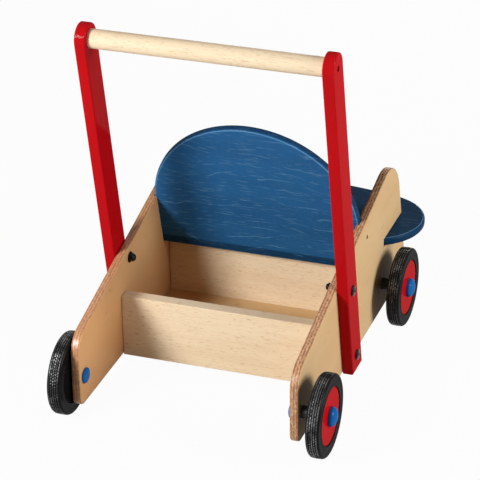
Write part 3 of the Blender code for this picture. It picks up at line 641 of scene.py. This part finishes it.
def swept(inputs):
    """A profile carried round the Z axis."""
    profile = inputs["Profile"]
    section = profile.make("GeometryNodeMeshToCurve", {}, {"Mesh": profile})
    circle = profile.make(
        "GeometryNodeCurvePrimitiveCircle", {},
        {"Resolution": inputs["Steps"], "Radius": inputs["Path Radius"]},
    )
    mesh = profile.make("GeometryNodeCurveToMesh", {}, {"Curve": circle, "Profile Curve": section})
    return profile.make("GeometryNodeMergeByDistance", {}, {"Geometry": mesh, "Distance": WELD})


def settled(mesh, inputs):
    """A turned mesh brought to its centre, with its axis in its final direction."""
    turn = mesh.make("FunctionNodeEulerToRotation", {}, {"Euler": inputs["Turn"]})
    return mesh.make(
        "GeometryNodeTransform", {}, {"Geometry": mesh, "Translation": inputs["Centre"], "Rotation": turn},
    )


turning_tree, inputs = new_tree("turned_piece", TURNING_INPUTS)
end_tree(settled(swept(inputs), inputs), inputs["Finish"])


def turned(profile, steps, finish, centre=(0, 0, 0), facing=0, tree=turning_tree, values=None):
    """A turned mesh from (radius, height) points. It faces along Z, or along +X or -X for 1 or -1."""
    section = bpy.data.meshes.new("section")
    edges = [(index, index + 1) for index in range(len(profile) - 1)]
    if profile[0][0] > 0:
        edges.append((len(profile) - 1, 0))
    section.from_pydata([(radius - PATH_RADIUS, -height, 0) for radius, height in profile], edges, [])
    turning = {
        "Path Radius": PATH_RADIUS, "Steps": steps, "Finish": finish,
        "Centre": tuple(centre), "Turn": (0.0, facing * math.pi / 2, 0.0),
    }
    return grown(section, tree, turning | (values or {}))


def eased_rim(radius, top, edge):
    """The rounded upper edge of a turned piece."""
    return arc((radius - edge, top - edge), edge, math.pi / 2, 0, ROUND_STEPS)


handle_half = (handle_high.x - handle_low.x) / 2
handle_profile = [(0, handle_half)] + eased_rim(HANDLE_RADIUS, handle_half, HANDLE_EDGE)
handle_profile += [(radius, -height) for radius, height in reversed(handle_profile)]
handle = turned(handle_profile, HANDLE_STEPS, beech, handle_middle, 1)
add_piece("push_bar", handle, beech, "beech", "wagon", "handle_bar")

# Bolts. Black socket-head bolts hold each arm to its panel, with their domed heads on the arm's outside
# and a hexagon socket for the key in each head.
BOLT_RADIUS = 0.003
BOLT_HEAD_RADIUS = 0.0075
BOLT_HEAD = 0.003
BOLT_HEAD_WALL = 0.0008
BOLT_SOCKET_RADIUS = 0.0025
BOLT_SOCKET_DEPTH = 0.002
BOLT_STEPS = 48
DOME_STEPS = 10
FASTENER_SEED = 4
BLACK_OXIDE = (0.006, 0.006, 0.007, 1)
BLACK_OXIDE_WORN = (0.030, 0.031, 0.032, 1)
METAL_RELIEF = 0.00002
METAL_WEAR_CELLS = (420, 420, 420)
# Sockets of a Random Value node for single numbers that share their names with its other sockets
RANDOM_MAX = 3
RANDOM_SEED = 8
RANDOM_RESULT = 1

black_metal, shader, place = new_finish("black_metal", {"Metallic": 0.4, "Specular IOR Level": 0.15})
wear = place.noise(METAL_WEAR_CELLS).rise(0.45, 0.75)
wear.mix(BLACK_OXIDE, BLACK_OXIDE_WORN).feed(shader, "Base Color")
(0.18 + wear * 0.14).feed(shader, "Roughness")
wear.bump(shader, METAL_RELIEF)

fastener_tree, inputs = new_tree("fasteners", {
    "Points": "NodeSocketGeometry",
    "Sample": "NodeSocketObject",
    "Seed": "NodeSocketInt",
    "Finish": "NodeSocketMaterial",
})
points = inputs["Points"]
sample = points.make("GeometryNodeObjectInfo", {}, {"Object": inputs["Sample"]}, output="Geometry")
spin = points.make(
    "FunctionNodeRandomValue", {"data_type": "FLOAT"},
    {RANDOM_MAX: math.tau, RANDOM_SEED: inputs["Seed"]}, RANDOM_RESULT,
)
own_spin = points.make("FunctionNodeAxisAngleToRotation", {}, {"Axis": (0, 0, 1), "Angle": spin})
turn = points.make("GeometryNodeInputNamedAttribute", {"data_type": "FLOAT_VECTOR"}, {"Name": "turn"})
size = points.make("GeometryNodeInputNamedAttribute", {"data_type": "FLOAT"}, {"Name": "size"})
outward = points.make("FunctionNodeEulerToRotation", {}, {"Euler": turn})
aimed = points.make(
    "FunctionNodeRotateRotation", {"rotation_space": "LOCAL"}, {"Rotation": outward, "Rotate By": own_spin},
)
copies = points.make(
    "GeometryNodeInstanceOnPoints", {},
    {"Points": points, "Instance": sample, "Rotation": aimed, "Scale": size},
)
end_tree(copies, inputs["Finish"])


def set_out(name, pattern, finish, slot, rows):
    """One piece of the wagon from copies of a pattern, for rows of (node, direction along X, size).

    The pattern's top is at the origin and faces up. Each copy's top is at the outer end of its node.
    """
    places = []
    for node, facing, size in rows:
        low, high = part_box(node)
        places.append((high.x if facing > 0 else low.x, (low.y + high.y) / 2, (low.z + high.z) / 2))
    points = bpy.data.meshes.new("places")
    points.from_pydata(places, [], [])
    points.attributes.new("turn", "FLOAT_VECTOR", "POINT")
    points.attributes.new("size", "FLOAT", "POINT")
    for index, (node, facing, size) in enumerate(rows):
        points.attributes["turn"].data[index].vector = (0, facing * math.pi / 2, 0)
        points.attributes["size"].data[index].value = size
    sample = workpiece("sample", pattern)
    values = {"Sample": sample, "Seed": FASTENER_SEED, "Finish": finish}
    mesh = grown(points, fastener_tree, values)
    bpy.data.objects.remove(sample)
    return add_piece(name, mesh, finish, slot, "wagon", *[node for node, facing, size in rows])


def dome(radius, top, rise):
    """The round top of a turned piece, from its middle down to its full radius."""
    angles = [math.pi / 2 * step / DOME_STEPS for step in range(DOME_STEPS + 1)]
    return [(radius * math.sin(angle), top - rise * (1 - math.cos(angle))) for angle in angles]


LEVELS = ("upper", "lower")
bolt_low, bolt_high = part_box("arm_bolt_upper_right")
bolt_profile = dome(BOLT_HEAD_RADIUS, 0, BOLT_HEAD - BOLT_HEAD_WALL) + [
    (BOLT_HEAD_RADIUS, -BOLT_HEAD), (BOLT_RADIUS, -BOLT_HEAD),
    (BOLT_RADIUS, bolt_low.x - bolt_high.x), (0, bolt_low.x - bolt_high.x),
]
hexagon = prism(6, BOLT_SOCKET_RADIUS, -BOLT_SOCKET_DEPTH, BOLT_SOCKET_DEPTH)
bolt = combined(turned(bolt_profile, BOLT_STEPS, black_metal), hexagon, "DIFFERENCE")
bolt_rows = [(f"arm_bolt_{level}_{name}", side, 1.0) for level in LEVELS for name, side in SIDES.items()]
set_out("arm_bolts", bolt, black_metal, "black_metal", bolt_rows)

# Cap nuts. Black steel nuts, each one a hexagon body with a flange below and a dome on top. They are
# screwed onto the bolts on the inside of the panels and cover the bolts' ends.
NUT_FLANGE_RADIUS = 0.0075
NUT_FLANGE = 0.0020
NUT_BODY_RADIUS = 0.0059
NUT_CROWN_RADIUS = 0.0048
NUT_CROWN = 0.0036
nut_low, nut_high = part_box("arm_nut_upper_right")
nut_height = nut_high.x - nut_low.x
flange_top = NUT_FLANGE - nut_height
nut_profile = dome(NUT_CROWN_RADIUS, 0, NUT_CROWN) + [
    (NUT_CROWN_RADIUS, flange_top), *dome(NUT_FLANGE_RADIUS, flange_top, NUT_FLANGE / 2)[DOME_STEPS // 2:],
    (NUT_FLANGE_RADIUS, -nut_height), (0, -nut_height),
]
nut_hexagon = prism(6, NUT_BODY_RADIUS, flange_top - NUT_FLANGE / 2, -NUT_CROWN)
nut = combined(turned(nut_profile, BOLT_STEPS, black_metal), nut_hexagon, "UNION")
nut_rows = [(f"arm_nut_{level}_{name}", -side, 1.0) for level in LEVELS for name, side in SIDES.items()]
set_out("arm_cap_nuts", nut, black_metal, "black_metal", nut_rows)

# Sunk screws. Cross-head screws of dark zinc-plated steel hold the handle bar between the arms and the
# backrest in its grooves. Their heads lie in round recesses, and their dark colour is also painted shade
# there.
SCREW_HEAD_RADIUS = 0.0036
SCREW_HEAD = 0.0025
SCREW_RADIUS = 0.002
SCREW_LENGTH = 0.030
CROSS_LENGTH = 0.0038
CROSS_WIDTH = 0.0008
CROSS_DEPTH = 0.0016
BACKREST_SCREW_SIZE = 0.833
DARK_ZINC_AND_SHADE = (0.11, 0.11, 0.105, 1)
ZINC_DULL = (0.05, 0.05, 0.05, 1)
STEEL_RELIEF = 0.00001
STEEL_CLOUD_CELLS = (260, 260, 260)
STEEL_SCRATCH_CELLS = (120, 1500, 1500)

steel, shader, place = new_finish("steel", {"Metallic": 1.0})
dull = place.noise(STEEL_CLOUD_CELLS).rise(0.4, 0.7)
scratch = place.noise(STEEL_SCRATCH_CELLS)
# The dark zinc also stands in as painted shade for the screws' deep recesses.
dull.mix(DARK_ZINC_AND_SHADE, ZINC_DULL).feed(shader, "Base Color")
(0.26 + dull * 0.12 + scratch * 0.08).feed(shader, "Roughness")
scratch.bump(shader, STEEL_RELIEF)

screw_profile = dome(SCREW_HEAD_RADIUS, 0, SCREW_HEAD) + [
    (SCREW_RADIUS, -SCREW_HEAD), (SCREW_RADIUS, SCREW_RADIUS - SCREW_LENGTH - SCREW_HEAD),
    (0, -SCREW_LENGTH - SCREW_HEAD),
]
screw = turned(screw_profile, BOLT_STEPS, steel)
for length, width in ((CROSS_LENGTH, CROSS_WIDTH), (CROSS_WIDTH, CROSS_LENGTH)):
    slit = block((-length / 2, -width / 2, -CROSS_DEPTH), (length / 2, width / 2, CROSS_DEPTH))
    screw = combined(screw, slit, "DIFFERENCE")
screw_rows = [("handle_screw_" + name, side, 1.0) for name, side in SIDES.items()]
screw_rows += [("backrest_screw_" + name, side, BACKREST_SCREW_SIZE) for name, side in SIDES.items()]
set_out("sunk_screws", screw, steel, "steel", screw_rows)

# Tyres. Moulded black rubber rings with plain sidewalls, round shoulders and a tread of narrow ribs with
# fine cross cuts. They are stretched over the rims of the wheel discs.
TYRE_HALF = 0.009
TYRE_BORE = 0.0383
TYRE_LIP = 0.0008
TYRE_DISH = 0.0005
TYRE_SHOULDER = 0.0036
TREAD_CROWN = 0.0003
GROOVE_COUNT = 4
RIB_PITCH = 0.0029
RIB_GROOVE = 0.0014
RIB_DEPTH = 0.0014
TREAD_CUTS = 84
TREAD_CUT_DEPTH = 0.0005
STEPS_PER_CUT = 3
RUBBER = (0.0035, 0.0035, 0.0038, 1)
RUBBER_DUSTY = (0.010, 0.010, 0.010, 1)
RUBBER_WEAR_AND_HIGHLIGHT = (0.22, 0.222, 0.22, 1)
RUBBER_SHEEN = {"Specular IOR Level": 0.0, "Coat Roughness": 0.26}
RUBBER_RELIEF = 0.00005
RUBBER_DUST_CELLS = (45, 45, 45)
RUBBER_MOTTLE_CELLS = (650, 650, 650)
RUBBER_GLINT_CELLS = (60, 60, 60)

tyre_radius = wheel_centres["wheel_rear_right"].z
tread_half = TYRE_HALF - TYRE_SHOULDER
rib_top = tyre_radius - TREAD_CROWN
rib_foot = rib_top - RIB_DEPTH / 4
rear_axle_y = wheel_centres["wheel_rear_right"].y

rubber, shader, place = new_finish("black_rubber", RUBBER_SHEEN)
along = place.make("ShaderNodeSeparateXYZ", {}, {"Vector": place}, output="Y")
from_axle_y = abs(along - (front_axle_y + rear_axle_y) / 2) - (front_axle_y - rear_axle_y) / 2
from_axle_z = along.also("Z") - tyre_radius
from_axle = from_axle_y.math("SQRT", from_axle_y * from_axle_y + from_axle_z * from_axle_z)
band_mask = from_axle.rise(rib_foot, rib_top)
dust = place.noise(RUBBER_DUST_CELLS).rise(0.35, 0.75)
mottle = place.noise(RUBBER_MOTTLE_CELLS, detail=2.0)
black = (dust * 0.5 + mottle.rise(0.45, 0.75) * 0.3).mix(RUBBER, RUBBER_DUSTY)
glint = place.noise(RUBBER_GLINT_CELLS).rise(0.40, 0.64)
# The rib tops are coloured a lighter grey in glinting patches: partly wear, partly painted highlights.
(band_mask * (0.1 + glint * 0.5)).mix(black, RUBBER_WEAR_AND_HIGHLIGHT).feed(shader, "Base Color")
(0.14 + band_mask * (0.2 + glint * 0.6)).feed(shader, "Coat Weight")
(0.30 + dust * 0.10 + mottle * 0.1).feed(shader, "Roughness")
mottle.bump(shader, RUBBER_RELIEF)

tyre_tree, inputs = new_tree("ribbed_tyre", TURNING_INPUTS | {
    "Cuts": "NodeSocketInt",
    "Cut Depth": "NodeSocketFloat",
    "Rib Pitch": "NodeSocketFloat",
    "Tread Half": "NodeSocketFloat",
    "Rib Foot": "NodeSocketFloat",
})
ring = swept(inputs)
position = ring.make("GeometryNodeInputPosition", {}, {})
x = ring.make("ShaderNodeSeparateXYZ", {}, {"Vector": position}, output="X")
y = x.also("Y")
along = x.also("Z")
from_axle = ring.make("ShaderNodeCombineXYZ", {}, {"X": x, "Y": y})
radius = ring.make("ShaderNodeVectorMath", {"operation": "LENGTH"}, {0: from_axle}, output="Value")
rib = along / inputs["Rib Pitch"] + 0.5
stagger = rib.math("FLOOR", rib) * 0.5 + 0.5 / STEPS_PER_CUT
turns = y.math("ARCTAN2", y, x) / math.tau * inputs["Cuts"] + stagger
in_cut = turns.math("LESS_THAN", turns.math("FRACT", turns), 1 / STEPS_PER_CUT)
on_rib = radius.math("GREATER_THAN", radius, inputs["Rib Foot"])
on_tread = radius.math("LESS_THAN", abs(along), inputs["Tread Half"])
outwards = ring.make("ShaderNodeVectorMath", {"operation": "NORMALIZE"}, {0: from_axle})
drop = in_cut * on_rib * on_tread * inputs["Cut Depth"] * -1
offset = ring.make("ShaderNodeVectorMath", {"operation": "SCALE"}, {0: outwards, "Scale": drop})
cut_ring = ring.make("GeometryNodeSetPosition", {}, {"Geometry": ring, "Offset": offset})
end_tree(settled(cut_ring, inputs), inputs["Finish"])


def crown(height):
    """The tread's radius at a distance from the wheel's middle plane."""
    return tyre_radius - TREAD_CROWN * (height / tread_half) ** 2


def tyre_side():
    """One half of a tyre's section, from the disc's rim over the sidewall to the tread's edge."""
    lip = arc((TYRE_BORE + TYRE_LIP, TYRE_HALF - TYRE_LIP), TYRE_LIP, math.pi, math.pi / 2, ROUND_STEPS)
    shoulder_radius = crown(tread_half) - TYRE_SHOULDER
    wall = []
    for step in range(1, 2 * ROUND_STEPS):
        share = step / (2 * ROUND_STEPS)
        wall_radius = TYRE_BORE + TYRE_LIP + share * (shoulder_radius - TYRE_BORE - TYRE_LIP)
        wall.append((wall_radius, TYRE_HALF - TYRE_DISH * math.sin(math.pi * share) ** 2))
    shoulder = arc((shoulder_radius, tread_half), TYRE_SHOULDER, math.pi / 2, 0, 2 * ROUND_STEPS)
    return lip + wall + shoulder


tread = []
for index in range(GROOVE_COUNT):
    groove_middle = ((GROOVE_COUNT - 1) / 2 - index) * RIB_PITCH
    for share, sunk in ((0.5, 0), (0.25, RIB_DEPTH), (-0.25, RIB_DEPTH), (-0.5, 0)):
        height = groove_middle + share * RIB_GROOVE
        tread.append((crown(height) - sunk, height))
tyre_profile = tyre_side() + tread + [(radius, -height) for radius, height in reversed(tyre_side())]
tyre_values = {
    "Cuts": TREAD_CUTS, "Cut Depth": TREAD_CUT_DEPTH, "Rib Pitch": RIB_PITCH,
    "Tread Half": tread_half + WELD, "Rib Foot": rib_foot,
}
CORNERS = {f"{axle}_{name}": side for axle in ("front", "rear") for name, side in SIDES.items()}
for corner, side in CORNERS.items():
    body = "wheel_" + corner
    centre = wheel_centres[body]
    tyre = turned(tyre_profile, TREAD_CUTS * STEPS_PER_CUT, rubber, centre, side, tyre_tree, tyre_values)
    add_piece(corner + "_ribbed_tyre", tyre, rubber, "rubber", body, "tyre_" + corner)

# Wheel discs. Round wooden discs with eased rims and a bore that turns on the axle. Their outside is
# lacquered red like the arms, and the side towards the panel is black.
DISC_RADIUS = 0.038
DISC_HALF = 0.008
DISC_EDGE = 0.0014
DISC_BORE = 0.0043
DISC_STEPS = 128
DISC_BLACK = (0.006, 0.006, 0.007, 1)
DISC_RELIEF = 0.00003
DISC_TONE_CELLS = (30, 30, 30)
DISC_PORE_CELLS = (40, 520, 520)

wheel_lacquer, shader, place = new_finish("wheel_lacquer", RED_SHEEN)
tone = place.noise(DISC_TONE_CELLS)
pores = place.noise(DISC_PORE_CELLS, detail=2.0)
outer_face = place.make("ShaderNodeAttribute", {"attribute_name": "outer_face"}, {}, output="Fac")
red = (tone.rise(*PATCHES) * 0.7 + pores.rise(0.5, 0.75) * 0.3).mix(RED, RED_DEEP)
outer_face.rise(0.45, 0.55).mix(DISC_BLACK, red).feed(shader, "Base Color")
(0.30 + pores * 0.12).feed(shader, "Roughness")
pores.bump(shader, DISC_RELIEF)

disc_profile = [(DISC_BORE, DISC_HALF)] + eased_rim(DISC_RADIUS, DISC_HALF, DISC_EDGE)
disc_profile += [(radius, -height) for radius, height in reversed(disc_profile)]
for corner, side in CORNERS.items():
    body = "wheel_" + corner
    centre = wheel_centres[body]
    disc = turned(disc_profile, DISC_STEPS, wheel_lacquer, centre, side)
    disc.attributes.new("outer_face", "FLOAT", "POINT")
    for vertex, shade in zip(disc.vertices, disc.attributes["outer_face"].data):
        shade.value = float(side * (vertex.co.x - centre.x) > -DISC_HALF / 2)
    add_piece(corner + "_wheel_disc", disc, wheel_lacquer, "red_lacquer", body, "wheel_disc_" + corner)

# Axle caps. Glossy domed caps of blue plastic, pushed on both ends of each steel stub axle. They keep the
# wheel on its axle and the axle in its panel.
OUTER_CAP_RADIUS = 0.013
OUTER_CAP_DOME = 0.0065
INNER_CAP_RADIUS = 0.0105
INNER_CAP_DOME = 0.0034
CAP_LIP = 0.0005
CAP_BORE = 0.0043
CAP_BORE_DEPTH = 0.003
CAP_STEPS = 64
CAP_BLUE = (0.010, 0.145, 0.47, 1)
CAP_BLUE_DEEP = (0.007, 0.115, 0.40, 1)
CAP_SHEEN = {"Specular IOR Level": 0.0, "Coat Weight": 0.13, "Coat Roughness": 0.08}
CAP_RELIEF = 0.00002
CAP_CLOUD_CELLS = (90, 90, 90)
CAP_GRIT_CELLS = (900, 900, 900)

blue_plastic, shader, place = new_finish("blue_plastic", CAP_SHEEN)
cloud = place.noise(CAP_CLOUD_CELLS)
grit = place.noise(CAP_GRIT_CELLS, detail=1.0)
cloud.rise(*PATCHES).mix(CAP_BLUE, CAP_BLUE_DEEP).feed(shader, "Base Color")
(0.14 + cloud * 0.08).feed(shader, "Roughness")
grit.bump(shader, CAP_RELIEF)


def axle_cap(node, radius, rise):
    """A cap as high as a node, with a blind bore for the axle."""
    low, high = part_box(node)
    foot = low.x - high.x
    lip = arc((radius - CAP_LIP, foot + CAP_LIP), CAP_LIP, 0, -math.pi / 2, ROUND_STEPS)
    bore = [(CAP_BORE, foot), (CAP_BORE, foot + CAP_BORE_DEPTH), (0, foot + CAP_BORE_DEPTH)]
    return turned(dome(radius, 0, rise) + lip + bore, CAP_STEPS, blue_plastic)


outer_cap = axle_cap("outer_cap_front_right", OUTER_CAP_RADIUS, OUTER_CAP_DOME)
inner_cap = axle_cap("inner_cap_front_right", INNER_CAP_RADIUS, INNER_CAP_DOME)
outer_rows = [("outer_cap_" + corner, side, 1.0) for corner, side in CORNERS.items()]
inner_rows = [("inner_cap_" + corner, -side, 1.0) for corner, side in CORNERS.items()]
set_out("outer_axle_caps", outer_cap, blue_plastic, "blue_plastic", outer_rows)
set_out("inner_axle_caps", inner_cap, blue_plastic, "blue_plastic", inner_rows)
refinish(steel, *["axle_" + corner for corner in CORNERS])

# Spacers. Moulded sleeves of black plastic on the axles that keep three wheels off the panels, and a thin
# washer at the rear left wheel.
SPACER_RADIUS = 0.008
SPACER_EDGE = 0.0006
SPACER_BLACK = (0.008, 0.008, 0.0085, 1)
SPACER_GREY = (0.018, 0.018, 0.018, 1)
SPACER_RELIEF = 0.00003
SPACER_CLOUD_CELLS = (140, 140, 140)

black_plastic, shader, place = new_finish("black_plastic", {"Specular IOR Level": 0.2})
cloud = place.noise(SPACER_CLOUD_CELLS)
cloud.rise(*PATCHES).mix(SPACER_BLACK, SPACER_GREY).feed(shader, "Base Color")
(0.36 + cloud * 0.12).feed(shader, "Roughness")
cloud.bump(shader, SPACER_RELIEF)

for corner, side in CORNERS.items():
    node = "wheel_spacer_" + corner
    low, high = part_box(node)
    spacer_profile = [(CAP_BORE, 0)] + eased_rim(SPACER_RADIUS, 0, SPACER_EDGE)
    spacer_profile += [(radius, low.x - high.x - height) for radius, height in reversed(spacer_profile)]
    spacer = turned(spacer_profile, CAP_STEPS, black_plastic)
    set_out(corner + "_spacer", spacer, black_plastic, "black_plastic", [(node, side, 1.0)])

# Stage. A plain pale floor, a soft key light behind the walker on its left, a wide fill light on its right
# and a low lamp in front of it. The even surround is white where it is seen and a little warm as a light.
FLOOR_HALF = 12.0
FLOOR_DROP = 0.0004
FLOOR_THICKNESS = 0.02
FLOOR_WHITE = (0.50, 0.50, 0.50, 1)
FLOOR_LIFT = 0.96
WHITE = (1, 1, 1, 1)
SURROUND = (1.0, 0.84, 0.68, 1)
SURROUND_STRENGTH = 0.07
LIT_POINT = Vector((0, 0, 0.18))
LIGHT_DISTANCE = 2.4
KEY_AIM = (0.42, 0.78, -0.46)
KEY_SIZE = 0.65
KEY_POWER = 55
FILL_AIM = (-0.95, 0.01, -0.32)
FILL_SIZE = 1.1
FILL_POWER = 42
FRONT_AIM = (0.10, -0.99, -0.07)
FRONT_SIZE = 0.7
FRONT_POWER = 22


def unseen_by_light(tree):
    """1 for what the camera, a mirror or a clear piece sees, and 0 for what lights the walker."""
    ray = Flow(tree).make("ShaderNodeLightPath", {}, {}, output="Is Camera Ray")
    seen = ray + ray.also("Is Glossy Ray") + ray.also("Is Transmission Ray")
    return seen.math("MINIMUM", seen, 1.0)


def shader_mix(factor, first, second, output_node):
    """Let an output node show the first shader where a factor is 0 and the second where it is 1."""
    mixed = factor.make("ShaderNodeMixShader", {}, {0: factor, 1: first, 2: second})
    mixed.feed(output_node, "Surface")


floor_finish, shader, place = new_finish("floor_white", {"Base Color": FLOOR_WHITE, "Roughness": 0.9})
tree = floor_finish.node_tree
glow = place.make("ShaderNodeEmission", {}, {"Color": WHITE, "Strength": 1.0})
lit = Flow(tree, shader.outputs["BSDF"])
shader_mix(unseen_by_light(tree) * FLOOR_LIFT, lit, glow, tree.nodes["Material Output"])
floor_slab = block((-FLOOR_HALF, -FLOOR_HALF, -FLOOR_THICKNESS), (FLOOR_HALF, FLOOR_HALF, -FLOOR_DROP))
floor = workpiece("floor", floor_slab)
floor.data.materials.append(floor_finish)

world = bpy.data.worlds.new("white_surround")
bpy.context.scene.world = world
world.use_nodes = True
tree = world.node_tree
tree.nodes["Background"].inputs["Strength"].default_value = SURROUND_STRENGTH
tree.nodes["Background"].inputs["Color"].default_value = SURROUND
even_light = Flow(tree, tree.nodes["Background"].outputs["Background"])
white = even_light.make("ShaderNodeBackground", {}, {"Color": WHITE, "Strength": 1.0})
shader_mix(unseen_by_light(tree), even_light, white, tree.nodes["World Output"])


def studio_light(name, direction, size, power):
    """A square lamp that shines along a direction onto the middle of the walker."""
    lamp = bpy.data.lights.new(name, "AREA")
    lamp.size = size
    lamp.energy = power
    light = workpiece(name, lamp)
    aim = Vector(direction).normalized()
    light.location = LIT_POINT - aim * LIGHT_DISTANCE
    light.rotation_euler = aim.to_track_quat("-Z", "Y").to_euler()


studio_light("key_light", KEY_AIM, KEY_SIZE, KEY_POWER)
studio_light("fill_light", FILL_AIM, FILL_SIZE, FILL_POWER)
studio_light("front_light", FRONT_AIM, FRONT_SIZE, FRONT_POWER)

# Camera. It looks down at the walker from behind, on its right, with a long lens and a slight roll. Its
# place and its angles were fitted to the photo.
CAMERA_AZIMUTH = math.radians(19.42)
CAMERA_ELEVATION = math.radians(26.86)
CAMERA_ROLL = math.radians(-0.7)
CAMERA_PLACE = (0.9515, -2.7265, 1.6212)
CAMERA_LENS = 182.07
SENSOR = 36.0

lens = bpy.data.cameras.new("photo_camera")
lens.sensor_width = SENSOR
lens.lens = CAMERA_LENS
camera = workpiece("photo_camera", lens)
sight = Vector((
    -math.sin(CAMERA_AZIMUTH) * math.cos(CAMERA_ELEVATION),
    math.cos(CAMERA_AZIMUTH) * math.cos(CAMERA_ELEVATION),
    -math.sin(CAMERA_ELEVATION),
))
level = sight.to_track_quat("-Z", "Y").to_matrix().to_4x4()
camera.matrix_world = Matrix.Translation(CAMERA_PLACE) @ level @ Matrix.Rotation(CAMERA_ROLL, 4, "Z")
bpy.context.scene.camera = camera
bpy.context.scene.view_settings.view_transform = "Standard"
